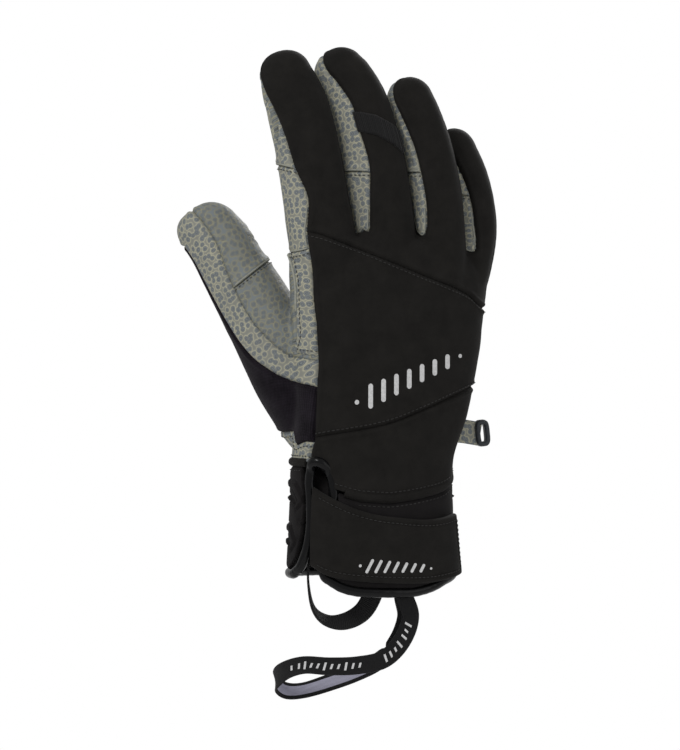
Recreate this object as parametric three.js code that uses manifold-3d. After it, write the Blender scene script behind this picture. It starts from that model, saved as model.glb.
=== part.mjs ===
// Climbing glove, right hand, softshell back and leather palm. Millimetres, +Z up (fingertips).
// The back of the hand faces -Y, the palm faces +Y, the thumb side is -X. The origin is the
// middle of the wrist opening.
import * as THREE from 'three';
import { mergeVertices } from 'three/addons/utils/BufferGeometryUtils.js';
import Module from 'manifold-3d';

const wasm = await Module();
wasm.setup();
const { Manifold, Mesh } = wasm;

// Driving dimensions
const WALL = 2.4;             // leather and softshell with their lining
const CUFF_WALL = 4.0;        // padded cuff
const GAP = 0.36;             // clear gap between neighbouring pieces
const TILT = 20 * Math.PI / 180;      // how far the hand plane is turned about Z
const BACK_DEPTH = 20.5;      // the back's surface behind the hand plane, at the thumb
const MID_X = 8;              // X of the hand plane's turning line
const PATCH_THICK = 1.1;      // palm reinforcement
const BIND_R = 2.3;           // binding bead
const BAND_WIDTH = 10;        // ribbed webbing on the middle finger
const WEB_THICK = 1.2;        // webbing and tape
const PULL_WIDTH = 10;
const TAPE_WIDTH = 9;
const TAPE_AT = 12;           // where the tape is sewn in, degrees round from the back
const SIDES = 15;             // corners round a finger
const BODY_SIDES = 22;
const BODY_POWER = 2.35;      // squareness of the hand, the fingers and the cuff
const FINGER_POWER = 2.2;
const CUFF_POWER = 2.3;
const ULNAR_SEAM = 104;       // seam on the little-finger side, degrees round from a finger's back
const TOP_DROP = 0.0046;      // fall of the knuckle line towards the little finger, per mm squared
const ROLL_R = 2.4;           // rolled seam over the cuff
const STRAP_LIFT = 0.7;       // strap above the cuff's surface
const STRAP_THICK = 2.2;
const LINING_SPLIT = 3;       // depth in the hand plane where the palm's outline meets the back's
const FAR = 90;               // reach of a cutting body past the glove
const FINENESS = 0.25;        // how far a surface may be eased to save triangles

// Hand body: height, centre x, centre y, half width, half depth, cup towards the palm, share of the drop
const BODY = [
  [34, 0.8, 0, 41.9, 26.7, 0, 0],
  [54, 1.2, 0.3, 41.2, 26.0, 0, 0],
  [66, 3.0, 1.5, 42.5, 25.0, 0, 0],
  [80, 5.6, 2.5, 45.0, 24.5, 1, 0],
  [110, 8.8, 3.0, 49.0, 23.0, 3, 0],
  [125, 9.6, 3.0, 50.5, 22.0, 4, 0.1],
  [152, 10.4, 3.0, 52.8, 19.5, 6, 0.6],
  [162, 10.4, 3.0, 51.6, 17.2, 6, 0.9],
  [167, 10.2, 3.0, 49.0, 14.0, 6, 1],
  [169.5, 10.0, 3.0, 42.0, 8.0, 6, 1],
];

// Fingers: x, y, z, half width, half depth. The last row is the foot of the rounded tip, tip its height.
// radial is the angle of the grey side's seam at each row, in degrees round from the finger's back. seam is
// the height of the seam across the front, and lean its rise for each mm towards the thumb.
const FINGERS = {
  index: {
    rows: [
      [-20.5, -10, 138, 15.0, 14.0], [-22.0, -10.5, 155, 16.4, 15.5], [-24.6, -11, 172, 16.6, 14.8],
      [-27.0, -11.4, 188, 16.2, 14.2], [-29.6, -11, 204, 15.9, 13.7], [-32.8, -9.8, 220, 15.7, 13.2],
      [-36.4, -8, 234, 15.3, 12.6], [-40.2, -6, 245, 13.9, 12.0], [-42.0, -5, 250, 12.7, 11.5],
    ], tip: 11.5, radial: [-24, -24, -24, -13, -29, -37, -48, -64, -74], seam: 200, lean: 0.28,
  },
  middle: {
    rows: [
      [8.6, 1, 138, 14.5, 14.0], [7.6, 0.5, 155, 15.4, 15.5], [6.6, 0, 172, 15.7, 14.8],
      [5.2, -0.5, 188, 15.4, 14.2], [2.6, 0, 204, 15.3, 13.7], [-1.2, 1, 220, 15.1, 13.2],
      [-5.6, 3, 235, 14.7, 12.6], [-11.6, 5.5, 247, 13.8, 12.0], [-15.0, 7, 252, 12.8, 11.5],
    ], tip: 11.5, radial: [-24, -24, -25, -20, -10, -12, -13, -20, -24], seam: 201, lean: 0.05,
  },
  ring: {
    rows: [
      [35.0, 8, 132, 12.6, 13.5], [34.8, 8.5, 150, 13.4, 14.5], [34.6, 9, 166, 13.5, 13.8],
      [33.6, 9.5, 184, 13.3, 12.9], [31.2, 10, 200, 13.0, 12.4], [27.6, 11.5, 216, 12.8, 12.0],
      [23.2, 14, 230, 12.2, 11.5], [20.4, 16, 238, 11.4, 11.0],
    ], tip: 11.5, radial: [-26, -26, -27, -23, -24, -27, -36, -44], seam: 201, lean: 0.05,
  },
  little: {
    rows: [
      [45.5, 17, 124, 8.5, 8.0], [47.5, 19.5, 140, 9.8, 10.5], [50.2, 24, 156, 11.4, 12.0],
      [52.0, 27.8, 172, 12.0, 11.8], [51.0, 29, 186, 11.9, 11.4], [48.0, 31, 200, 11.5, 11.0],
      [43.4, 33.5, 213, 10.6, 10.3],
    ], tip: 11.5, radial: [10, 12, 16, 5, 2, -6, -16], seam: 190.5, lean: 0.05,
  },
};

// Thumb: same columns. knit is half the knit's angle about the nail side, and padBack and padFront are the
// edges of the pad, all at each row, in degrees round from the thumb's back.
const THUMB = {
  rows: [
    [-17, 8, 62, 13, 13], [-24, 8, 74, 17.5, 18], [-31.5, 8, 88, 19.5, 20], [-38.5, 8.5, 101, 20, 20],
    [-46, 9, 115, 19.2, 19], [-54, 10, 129, 18, 17.8], [-61.5, 11, 142, 17, 16.8],
    [-68.5, 12, 154, 16, 15.8], [-74.5, 13, 164, 15, 15], [-79, 14, 172, 13.6, 13.6],
  ],
  tip: 14,
  knit: [60, 60, 58, 48, 37, 31, 27, 24, 22, 20],
  padBack: [40, 40, 38, 20, -4, -16, -16, -12, -3, 3],
  padFront: [150, 160, 172, 180, 184, 184, 180, 174, 164, 152],
};
const THUMB_SEAM = [[-66, 145], [-51, 157]];   // seam across the pad: outer and inner end (x, z)
// Lower seam of the knit (x, z), on the back and on the palm side of KNIT_SPLIT
const KNIT_LOW_BACK = [
  [-110, 117], [-70.5, 117], [-58, 107], [-46.5, 100.5], [-36, 96.5], [-25.5, 94.5], [0, 92],
];
const KNIT_LOW_PALM = [[-110, 122], [-70, 121], [-58, 106], [-44, 88], [-32, 75], [0, 60]];
const KNIT_SPLIT = 9;

// Thumb-side edge of the black back: height, x
const BACK_EDGE = [
  [40, -31], [61, -29.5], [68, -27.5], [93, -26.5], [105, -25.5], [125, -26.5], [145, -29], [171, -31.5],
  [182, -32],
];
// Slanting seams of the back (x, z), thumb side first
const UPPER_SEAM = [
  [-60, 172], [-31.5, 171], [-15, 166], [1, 160], [27, 149.5], [48, 141], [57, 134], [80, 122],
];
const LOWER_SEAM = [[-60, 62], [-27.5, 69], [6, 75], [27.5, 83], [52.5, 94.5], [80, 106]];
// Seam between the palm and the finger bases (along the palm, height)
const PALM_SEAM = [
  [-90, 155], [-52, 160], [-30, 168], [-10, 170], [8, 167], [20, 162], [35, 157], [53, 155], [90, 154],
];
// Palm reinforcement (along the palm, height)
const PATCH = [
  [48, 148.5], [43.5, 151.5], [25, 152], [14, 152.5], [3.5, 155], [-5.5, 159.5], [-16, 162.5], [-25, 161.5],
  [-35, 157], [-43, 152], [-38, 144], [-28, 138], [-20, 130.5], [-15.5, 123.5], [-14.5, 109.5], [-15, 92],
  [-13.5, 86], [-11, 84.5], [-1, 83], [16.5, 84.5], [36, 86], [43.5, 89], [45, 104], [47, 125.5],
];
// Thumb base seam: on the palm (along the palm, height) and on the back (x, z)
const THUMB_BASE_PALM = [
  [-60, 170], [-52, 164], [-44, 152], [-34, 141], [-26, 131], [-22, 120], [-21.5, 109.5], [-23.5, 98.5],
  [-28, 87.5], [-34.5, 80], [-44.5, 72.5], [-60, 66],
];
const THUMB_BASE_BACK = [
  [-46, 175], [-44, 168], [-41, 161.5], [-37.6, 147], [-37.1, 132], [-36.5, 119], [-37.5, 111], [-22, 107.5],
  [-20, 90], [-20, 68], [-32, 67], [-40, 64], [-50, 64],
];
const THUMB_REACH = [[-150, 60], [-150, 240], [-60, 240]];     // closes both outlines past the thumb

// Cuff: height, half width, half depth
const CUFF = [[0, 43.6, 27.6], [14, 42.8, 27.2], [34, 41.9, 26.7], [52, 41.2, 26.0], [60, 41.2, 26.0]];
const CUFF_X = 0.8;
// Hem: angle round from the back, height; it dips at the back and rises to the slit
const HEM = [
  [-130, 1.8], [-84, 1.3], [-60, 1.5], [-49, 1.8], [-41, -1.5], [-32, -5], [-20, -7], [-5, -7.8], [15, -7.8],
  [30, -5.8], [48, -2], [70, 0.3], [92, 1.2], [110, 1.8],
];
// Slit on the thumb side of the back: height, x of its left and right bead
const SLIT = [
  [-12, -41, -24.5], [0, -38.5, -24.5], [7.5, -34, -23.6], [17.5, -31, -22], [27.5, -30, -20.4],
  [37.5, -30.2, -18.8], [47.5, -30.8, -19], [53, -30, -21.5], [57, -27.5, -24.5],
];
// Top of the cuff: angle round from the back, height; the back panel reaches lower than the palm
const CUFF_TOP = [
  [-115, 57], [-66, 56.5], [-56, 50], [-43, 44], [-18, 39.5], [0, 38.5], [19, 40.5], [44, 43.5], [68, 47.5],
  [90, 53], [116, 57],
];
// Closure strap: angle, top height, bottom height
const STRAP = [
  [-56, 44.5, 5.5], [-42, 40, 1], [-29, 36, -1], [-18, 33, -2], [-5, 30.5, -2.8], [10, 28.8, -3.4],
  [24, 28.2, -3.2], [40, 29, -2], [56, 30.5, -0.6], [70, 31.5, 0.5],
];
const STRAP_ENDS = [-56, 69];
// Upper edge of the finger band (x, z)
const BAND_LINE = [[-30, 231], [-8, 231], [15, 216], [40, 206]];
// Side tab's centre line, and the clip: size, size of its eye, turn in degrees and place
const TAB_PATH = [[37.4, 11.1, 71.5], [43.3, 13.1, 72], [47.3, 14.3, 71.7], [50.4, 15.3, 71.2]];
const TAB_SIZE = [10, 1.6];
const CLIP = [9, 6, 14.5];
const CLIP_EYE = [4.4, CLIP[1] + 2, 9.6];
const CLIP_TURN = [0, -6, 17];
const CLIP_AT = [56.7, 17.1, 70.8];

// Pull loop and tape loop: centre line x, y, z and the direction of the webbing's width
const PULL = [
  [-30.5, -11, 9, 0, 1, 0], [-30.5, -11, -4, 0, 1, 0], [-28, -11, -16, 0.1, 1, -0.1],
  [-21.5, -11.5, -22, 0.35, 0.8, -0.4], [-12.5, -13, -22.5, 0.3, 0.5, 0.8], [-4, -15, -18, -0.5, 0.3, 0.8],
  [1, -16, -10, -0.85, 0.2, 0.45], [3.5, -16, 0, -0.95, 0.2, 0.2], [3.5, -15.5, 9, -1, 0, 0],
];
const TAPE = [
  [20.3, -15, -20, 1, 0.3, 0.1], [16, -17.5, -32, 0.85, 0, -0.5], [7, -19, -41, 0.55, 0, -0.85],
  [-6, -20, -44, 0.15, 0, -1], [-20, -20, -44.5, 0, 0.1, -1], [-33, -18.5, -44, 0, 0.2, -1],
  [-43, -14, -47.5, 0.2, 0.15, -1], [-46.5, -8, -53, 0.1, -0.1, -1], [-42, -3.5, -57.5, 0, -0.4, -0.9],
  [-33, -2.5, -57.5, 0, -0.55, -0.85], [-20, -4, -53.5, -0.15, -0.3, -1], [-7, -8, -48.5, -0.35, -0.1, -1],
  [5, -11, -42, -0.5, 0, -0.9], [14, -12.5, -32, -0.85, 0, -0.5], [18, -12, -20, -1, -0.3, 0.1],
];

const rad = (d) => d * Math.PI / 180;
const lerp = (a, b, t) => a + (b - a) * t;
const table = (rows, x, col) => {
  if (x <= rows[0][0]) return rows[0][col];
  for (let i = 1; i < rows.length; i++) {
    if (x <= rows[i][0]) {
      return lerp(rows[i - 1][col], rows[i][col], (x - rows[i - 1][0]) / (rows[i][0] - rows[i - 1][0]));
    }
  }
  return rows[rows.length - 1][col];
};
const vec = (x, y, z) => new THREE.Vector3(x, y, z);

const power = (c, e) => Math.sign(c) * Math.abs(c) ** e;

// A solid from corner coordinates and triangles, with its faces turned outwards
function fromTriangles(pos, tri) {
  const vertProperties = new Float32Array(pos);
  const make = (t) => new Manifold(new Mesh({ numProp: 3, vertProperties, triVerts: new Uint32Array(t) }));
  const first = make(tri);
  if (first.volume() > 0) return first;
  const turned = [];
  for (let i = 0; i < tri.length; i += 3) turned.push(tri[i], tri[i + 2], tri[i + 1]);
  return make(turned);
}

// A closed solid through equal rings, each end closed to its own middle
function solid(rings) {
  const n = rings[0].length;
  const pos = [];
  rings.forEach((ring) => ring.forEach((p) => pos.push(p.x, p.y, p.z)));
  const middle = (ring) => ring.reduce((s, p) => s.add(p), vec(0, 0, 0)).multiplyScalar(1 / n);
  const a = middle(rings[0]);
  const b = middle(rings[rings.length - 1]);
  pos.push(a.x, a.y, a.z, b.x, b.y, b.z);
  const ia = rings.length * n;
  const ib = ia + 1;
  const tri = [];
  for (let r = 0; r + 1 < rings.length; r++) {
    for (let i = 0; i < n; i++) {
      const j = (i + 1) % n;
      const [p, q, s, t] = [r * n + i, r * n + j, (r + 1) * n + j, (r + 1) * n + i];
      tri.push(p, q, s, p, s, t);
    }
  }
  for (let i = 0; i < n; i++) {
    const j = (i + 1) % n;
    tri.push(ia, j, i);
    tri.push(ib, (rings.length - 1) * n + i, (rings.length - 1) * n + j);
  }
  return fromTriangles(pos, tri);
}

// A point of the hand plane: along it, its depth towards the palm, and height
const inHand = (s, v, z) => vec(
  MID_X + s * Math.cos(TILT) - v * Math.sin(TILT), s * Math.sin(TILT) + v * Math.cos(TILT), z,
);

// A prism through an outline in x and z, from y0 to y1; turned, it follows the hand plane
function prism(outline, y0, y1, turned = false) {
  const place = turned ? inHand : vec;
  const shape = new THREE.Shape(outline.map(([x, z]) => new THREE.Vector2(x, z)));
  const pts = shape.extractPoints(1).shape;
  const faces = THREE.ShapeUtils.triangulateShape(pts, []);
  const n = pts.length;
  const pos = [];
  for (const y of [y0, y1]) {
    for (const p of pts) pos.push(...place(p.x, y, p.y).toArray());
  }
  const tri = [];
  const clockwise = THREE.ShapeUtils.isClockWise(pts);
  for (const [a, b, c] of faces) tri.push(a, b, c, a + n, c + n, b + n);
  for (let i = 0; i < n; i++) {
    const j = (i + 1) % n;
    if (clockwise) tri.push(i, j, j + n, i, j + n, i + n);
    else tri.push(i, j + n, j, i, i + n, j + n);
  }
  return fromTriangles(pos, tri);
}

const above = (line, top = 320) => [...line, [line[line.length - 1][0], top], [line[0][0], top]];
const below = (line, low = -60) => [...line, [line[line.length - 1][0], low], [line[0][0], low]];
const shifted = (line, dz) => line.map(([x, z]) => [x, z + dz]);

// One ring of the hand body
function bodyRing(row, grow, sides) {
  const [z, cx, cy, a, b, cup, share] = row;
  const ring = [];
  for (let i = 0; i < sides; i++) {
    const t = (i / sides) * 2 * Math.PI;
    const u = (a + grow) * power(Math.cos(t), 2 / BODY_POWER);
    const v = (b + grow) * power(Math.sin(t), 2 / BODY_POWER);
    const bend = cup * Math.max(0, u / a) ** 2;
    const x = cx + u * Math.cos(TILT) - (v + bend) * Math.sin(TILT);
    const y = cy + u * Math.sin(TILT) + (v + bend) * Math.cos(TILT);
    ring.push(vec(x, y, z - share * TOP_DROP * Math.max(0, u) ** 2));
  }
  return ring;
}

function bodyLoft(grow, low, sides = BODY_SIDES) {
  const rings = BODY.map((row, i) => {
    const r = row.slice();
    if (i === 0) r[0] = low;
    if (i >= BODY.length - 2) r[0] += grow;
    return bodyRing(r, grow, sides);
  });
  return solid(rings);
}

// Frames along a finger: centre, across (towards +X), palm (towards +Y), along
function frames(rows) {
  return rows.map((row, i) => {
    const p = rows[Math.max(0, i - 1)];
    const q = rows[Math.min(rows.length - 1, i + 1)];
    const along = vec(q[0] - p[0], q[1] - p[1], q[2] - p[2]).normalize();
    const palm = vec(0, 1, 0);
    palm.addScaledVector(along, -palm.dot(along)).normalize();
    const across = palm.clone().cross(along).normalize();
    return { c: vec(row[0], row[1], row[2]), across, palm, along, a: row[3], b: row[4] };
  });
}

// All stations of a finger with its rounded tip
function stations(finger, grow) {
  const fr = frames(finger.rows);
  const list = fr.map((f, i) => ({ ...f, a: f.a + grow, b: f.b + grow, row: i }));
  const last = fr[fr.length - 1];
  for (const deg of [36, 66]) {
    const k = Math.cos(rad(deg));
    list.push({
      ...last, row: fr.length - 1, a: (last.a + grow) * k, b: (last.b + grow) * k,
      c: last.c.clone().addScaledVector(last.along, (finger.tip + grow) * Math.sin(rad(deg))),
    });
  }
  return list;
}

function fingerLoft(finger, grow, sides = SIDES) {
  const rings = stations(finger, grow).map((s) => {
    const ring = [];
    for (let i = 0; i < sides; i++) {
      const t = (i / sides) * 2 * Math.PI;
      const u = s.a * power(Math.cos(t), 2 / FINGER_POWER);
      const v = s.b * power(Math.sin(t), 2 / FINGER_POWER);
      ring.push(s.c.clone().addScaledVector(s.across, u).addScaledVector(s.palm, v));
    }
    return ring;
  });
  return solid(rings);
}

// The part of space on one side of the chord between two seams of a finger, angles from the back (-Y)
function slab(finger, fromDeg, toDeg, offset, reach = 34, side = 3) {
  const list = stations(finger, 0);
  const last = list[list.length - 1];
  list.push({ ...last, c: last.c.clone().addScaledVector(last.along, 6) });
  const rings = list.map((s) => {
    const at = (deg) => {
      const t = rad(deg);
      const [u, v] = [s.a * Math.sin(t), -s.b * Math.cos(t)];
      return s.c.clone().addScaledVector(s.across, u).addScaledVector(s.palm, v);
    };
    const p = at(fromDeg(s.row));
    const q = at(toDeg(s.row));
    const chord = q.clone().sub(p).normalize();
    const out = s.along.clone().cross(chord).normalize();
    const mid = p.clone().add(q).multiplyScalar(0.5);
    const target = at((fromDeg(s.row) + toDeg(s.row)) / 2);
    if (target.sub(mid).dot(out) < 0) out.negate();
    const p1 = p.clone().addScaledVector(chord, -side).addScaledVector(out, offset);
    const q1 = q.clone().addScaledVector(chord, side).addScaledVector(out, offset);
    return [p1, q1, q1.clone().addScaledVector(out, reach), p1.clone().addScaledVector(out, reach)];
  });
  return solid(rings);
}

// Space that belongs to one finger, between the middles of the gaps to its neighbours
const ORDER = ['index', 'middle', 'ring', 'little'];
function spineAt(finger, z) {
  const rows = finger.rows.map((r) => [r[2], r[0], r[1]]);
  return vec(table(rows, z, 1), table(rows, z, 2), z);
}
function zone(name, gap) {
  const k = ORDER.indexOf(name);
  const rings = [120, 150, 170, 200, 225, 245, 275].map((z) => {
    const here = spineAt(FINGERS[name], Math.min(z, 240));
    const wall = (other, sign) => {
      if (!other) {
        return { p: vec(here.x + sign * 60, here.y + sign * 14, z), d: vec(-0.2, 1, 0).normalize() };
      }
      const there = spineAt(FINGERS[other], Math.min(z, 240));
      const n = there.clone().sub(here).setZ(0).normalize();
      const A = FINGERS[name].rows[3][3];
      const B = FINGERS[other].rows[3][3];
      const p = here.clone().lerp(there, A / (A + B)).addScaledVector(n, -gap / 2).setZ(z);
      const d = vec(-n.y, n.x, 0);
      if (d.y < 0) d.negate();
      return { p, d };
    };
    const lo = wall(ORDER[k - 1], -1);
    const hi = wall(ORDER[k + 1], 1);
    const far = 36;
    return [
      lo.p.clone().addScaledVector(lo.d, -far), hi.p.clone().addScaledVector(hi.d, -far),
      hi.p.clone().addScaledVector(hi.d, far), lo.p.clone().addScaledVector(lo.d, far),
    ];
  });
  return solid(rings);
}

const union = (list) => Manifold.union(list);

// Angle on the cuff, between the thumb side and the back, for an x at a height
function degFor(x, z) {
  let [lo, hi] = [-100, 40];
  for (let i = 0; i < 30; i++) {
    const m = (lo + hi) / 2;
    if (cuffPoint(m, z, 0).x < x) lo = m; else hi = m;
  }
  return (lo + hi) / 2;
}
function cuffTop(deg) {
  return table(CUFF_TOP, deg, 1);
}
const outward = (deg) => vec(Math.sin(rad(deg) + TILT), -Math.cos(rad(deg) + TILT), 0);
// Everything below the cuff's top line, raised by a margin
function belowTop(margin) {
  const degs = [];
  for (let d = -180; d < 180; d += 10) degs.push(d);
  const ring = (r, z) => degs.map((d) => outward(d).multiplyScalar(r).add(vec(CUFF_X, 0, z(d))));
  const top = (d) => cuffTop(d) + margin;
  return solid([ring(FAR, () => -FAR), ring(FAR, top), ring(8, top)]);
}
// Clearance for the slit and its bead in the back
function slitCut(margin) {
  const left = SLIT.filter((r) => r[0] > 20).map((r) => [r[1] - margin, r[0]]);
  const right = SLIT.filter((r) => r[0] > 20).map((r) => [r[2] + margin, r[0]]).reverse();
  const top = SLIT[SLIT.length - 1];
  const [z, low, high] = [top[0] + margin, top[1] - margin * 0.5, top[2] + margin * 0.5];
  return prism([...left, [low, z], [high, z], ...right], -FAR, -4);
}

// Outer and inner form of the glove above the cuff
const formParts = (grow, low, fine = 1) => [
  bodyLoft(grow, low, Math.round(BODY_SIDES * fine)),
  ...ORDER.map((n) => fingerLoft(FINGERS[n], grow, Math.round(SIDES * fine))),
  fingerLoft(THUMB, grow, Math.round((SIDES + 1) * fine)),
];
const cavity = union(formParts(-WALL, 20, 0.75));
const form = union(formParts(0, 34));
const belowCuffLine = belowTop(ROLL_R + 0.3);
const shell = form.subtract(cavity).subtract(belowCuffLine).subtract(slitCut(BIND_R + GAP + 1.5));

// The black back: finger backs and the back of the hand
function backRegion(g) {
  const rings = [];
  for (const z of [30, 61, 80, 95, 105, 125, 145, 171, 182]) {
    const [cx, cy, a, b] = [1, 2, 3, 4].map((col) => table(BODY, z, col));
    const x = table(BACK_EDGE, z, 1);
    // point of the back surface at this x
    const u = (x - cx) / Math.cos(TILT) - 0.36 * b;
    const uc = Math.max(-a * 0.98, Math.min(a, u));
    const v = -b * Math.sqrt(Math.max(0.02, 1 - (uc / a) ** 2));
    const cup = table(BODY, z, 5);
    const shift = vec(cx - MID_X, cy, 0);
    const p = inHand(uc, v, z).add(shift);
    const q = inHand(a, cup, z).add(shift);
    const chord = q.clone().sub(p).normalize();
    const out = vec(chord.y, -chord.x, 0).normalize();
    const p1 = p.clone().addScaledVector(chord, -1).addScaledVector(out, -g);
    p1.x = Math.max(p1.x, x) - g;
    const q1 = q.clone().addScaledVector(chord, 14).addScaledVector(out, -g);
    rings.push([p1, q1, q1.clone().addScaledVector(out, 60), vec(p1.x, p1.y - 60, z)]);
  }
  const body = bodyLoft(0.3 + g, 30).intersect(solid(rings));
  const backs = ORDER.map((n) => {
    const f = FINGERS[n];
    return fingerLoft(f, 0.3 + g).intersect(slab(f, (i) => f.radial[i], () => ULNAR_SEAM, -g));
  });
  return union([body, ...backs]);
}
const backTight = backRegion(-GAP / 2);
const backWide = backRegion(GAP / 2);

// Thumb: everything outside the thumb base seam. The back outline, given in x, is moved into the hand plane.
const alongHand = (x) => (x - MID_X - BACK_DEPTH * Math.sin(TILT)) / Math.cos(TILT);
function thumbRegion(g) {
  const palmLine = THUMB_BASE_PALM.map(([s, z]) => [s + g, z]);
  const backLine = THUMB_BASE_BACK.map(([x, z]) => [alongHand(x) + g, z]);
  return union([
    prism([...palmLine, ...THUMB_REACH], LINING_SPLIT, FAR, true),
    prism([...backLine, ...THUMB_REACH], -FAR, LINING_SPLIT, true),
  ]);
}
const thumbTight = thumbRegion(-GAP / 2);
const thumbWide = thumbRegion(GAP / 2);

const nodes = [];
const back = shell.intersect(backTight);
const rest = shell.subtract(backWide);
const grey = rest.subtract(thumbWide);
const thumb = rest.intersect(thumbTight);

const upper = (d) => prism(above(shifted(UPPER_SEAM, d)), -FAR, FAR);
const lower = (d) => prism(above(shifted(LOWER_SEAM, d)), -FAR, FAR);
nodes.push(['back_knuckle_panel', back.intersect(upper(GAP / 2)), 'softshell']);
nodes.push(['back_middle_panel', back.subtract(upper(-GAP / 2)).intersect(lower(GAP / 2)), 'softshell']);
nodes.push(['back_wrist_panel', back.subtract(lower(-GAP / 2)), 'softshell']);

const fingerPart = (d) => prism(above(shifted(PALM_SEAM, d)), -FAR, FAR, true);
nodes.push(['palm_panel', grey.subtract(fingerPart(-GAP / 2)), 'leather']);
const fronts = grey.intersect(fingerPart(GAP / 2));
for (const n of ORDER) {
  const own = fronts.intersect(zone(n, GAP));
  const { seam, lean, rows } = FINGERS[n];
  const height = (x, d) => seam - (x - rows[4][0]) * lean + d;
  const cut = (d) => prism(above([-120, 120].map((x) => [x, height(x, d)])), -FAR, FAR);
  nodes.push([`${n}_front_base`, own.subtract(cut(-GAP / 2)), 'leather']);
  nodes.push([`${n}_front_tip`, own.intersect(cut(GAP / 2)), 'leather']);
}

// Palm reinforcement, laid on the palm
const over = union(formParts(PATCH_THICK + GAP, 34)).subtract(union(formParts(GAP, 20)));
nodes.push(['palm_patch', over.intersect(prism(PATCH, 6, 80, true)).subtract(thumbWide), 'leather']);

// Thumb pieces: the pad faces +X, the nail side faces -X
const NAIL_SIDE = 270;
const padSlab = (g) => slab(THUMB, (i) => THUMB.padBack[i], (i) => THUMB.padFront[i], -g, 60, 30);
const knitEdge = (sign) => (i) => NAIL_SIDE + sign * THUMB.knit[i];
const knitSlab = (g) => slab(THUMB, knitEdge(-1), knitEdge(1), -g, 60, 30);
const knitLow = (g) => union([
  prism(below(shifted(KNIT_LOW_BACK, g)), -FAR, KNIT_SPLIT),
  prism(below(shifted(KNIT_LOW_PALM, g)), KNIT_SPLIT, FAR),
]);
const knitTight = union([knitSlab(-GAP / 2), knitLow(-GAP / 2)]);
const knitWide = union([knitSlab(GAP / 2), knitLow(GAP / 2)]);
const pad = thumb.intersect(padSlab(-GAP / 2)).subtract(knitWide);
const side = thumb.subtract(padSlab(GAP / 2)).subtract(knitWide);
const [seamA, seamB] = THUMB_SEAM;
const seamSlope = (seamB[1] - seamA[1]) / (seamB[0] - seamA[0]);
const padSeam = (x, g) => [x, seamA[1] + (x - seamA[0]) * seamSlope + g];
const across = (g) => prism(above([-140, -20].map((x) => padSeam(x, g))), -FAR, FAR);
nodes.push(['thumb_pad_tip', pad.intersect(across(GAP / 2)), 'leather']);
nodes.push(['thumb_pad_base', pad.subtract(across(-GAP / 2)), 'leather']);
nodes.push(['thumb_side_strip', side, 'leather']);
nodes.push(['thumb_knit_panel', thumb.intersect(knitTight), 'knit']);

// Cuff, turned with the wrist; angles are degrees round from the back towards the little finger
function cuffPoint(deg, z, grow) {
  const a = table(CUFF, z, 1) + grow;
  const b = table(CUFF, z, 2) + grow;
  const t = rad(deg);
  const u = a * power(Math.sin(t), 2 / CUFF_POWER);
  const v = -b * power(Math.cos(t), 2 / CUFF_POWER);
  return inHand(u, v, z).add(vec(CUFF_X - MID_X, 0, 0));
}
const hem = (deg) => table(HEM, deg, 1);

// A curved plate on the cuff from low to high. A column is an angle, or a function of height that gives it.
function cuffPlate(columns, low, high, innerGrow, outerGrow, steps = 5) {
  const n = columns.length;
  const pos = [];
  for (const grow of [innerGrow, outerGrow]) {
    for (let r = 0; r <= steps; r++) {
      columns.forEach((column, i) => {
        const z = lerp(low(column, i), high(column, i), r / steps);
        const deg = typeof column === 'function' ? column(z) : column;
        pos.push(...cuffPoint(deg, z, grow).toArray());
      });
    }
  }
  const sheet = (steps + 1) * n;
  const tri = [];
  const quad = (a, b, c, d) => tri.push(a, b, c, a, c, d);
  for (let r = 0; r < steps; r++) {
    for (let i = 0; i + 1 < n; i++) {
      const [a, b, c, d] = [r * n + i, r * n + i + 1, (r + 1) * n + i + 1, (r + 1) * n + i];
      quad(sheet + a, sheet + b, sheet + c, sheet + d);
      quad(a, d, c, b);
    }
  }
  for (let i = 0; i + 1 < n; i++) {
    quad(i, i + 1, sheet + i + 1, sheet + i);
    const t = steps * n;
    quad(t + i, sheet + t + i, sheet + t + i + 1, t + i + 1);
  }
  for (let r = 0; r < steps; r++) {
    const [a, b] = [r * n, (r + 1) * n];
    quad(a, sheet + a, sheet + b, b);
    const [c, d] = [r * n + n - 1, (r + 1) * n + n - 1];
    quad(c, d, sheet + d, sheet + c);
  }
  return fromTriangles(pos, tri);
}

const bindGap = BIND_R + GAP;
const rightEdge = (z) => degFor(table(SLIT, z, 2) + bindGap + 0.8, z);
const leftEdge = (z) => degFor(table(SLIT, z, 1) - bindGap - 0.8, z) + 360;
const cuffDegs = [rightEdge];
for (let d = -24; d <= 258; d += 12) cuffDegs.push(d);
cuffDegs.push(leftEdge);
const norm = (d) => (d > 180 ? d - 360 : d);
const isEdge = (column) => typeof column === 'function';
const hemOf = (column, i) => (isEdge(column) ? hem(i === 0 ? -43 : -88) + 1.2 : hem(norm(column))) + bindGap;
const topOf = (column, i) => cuffTop(isEdge(column) ? (i === 0 ? -33 : -66) : norm(column)) - ROLL_R;
nodes.push(['cuff', cuffPlate(cuffDegs, hemOf, topOf, -CUFF_WALL, 0), 'softshell']);

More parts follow.
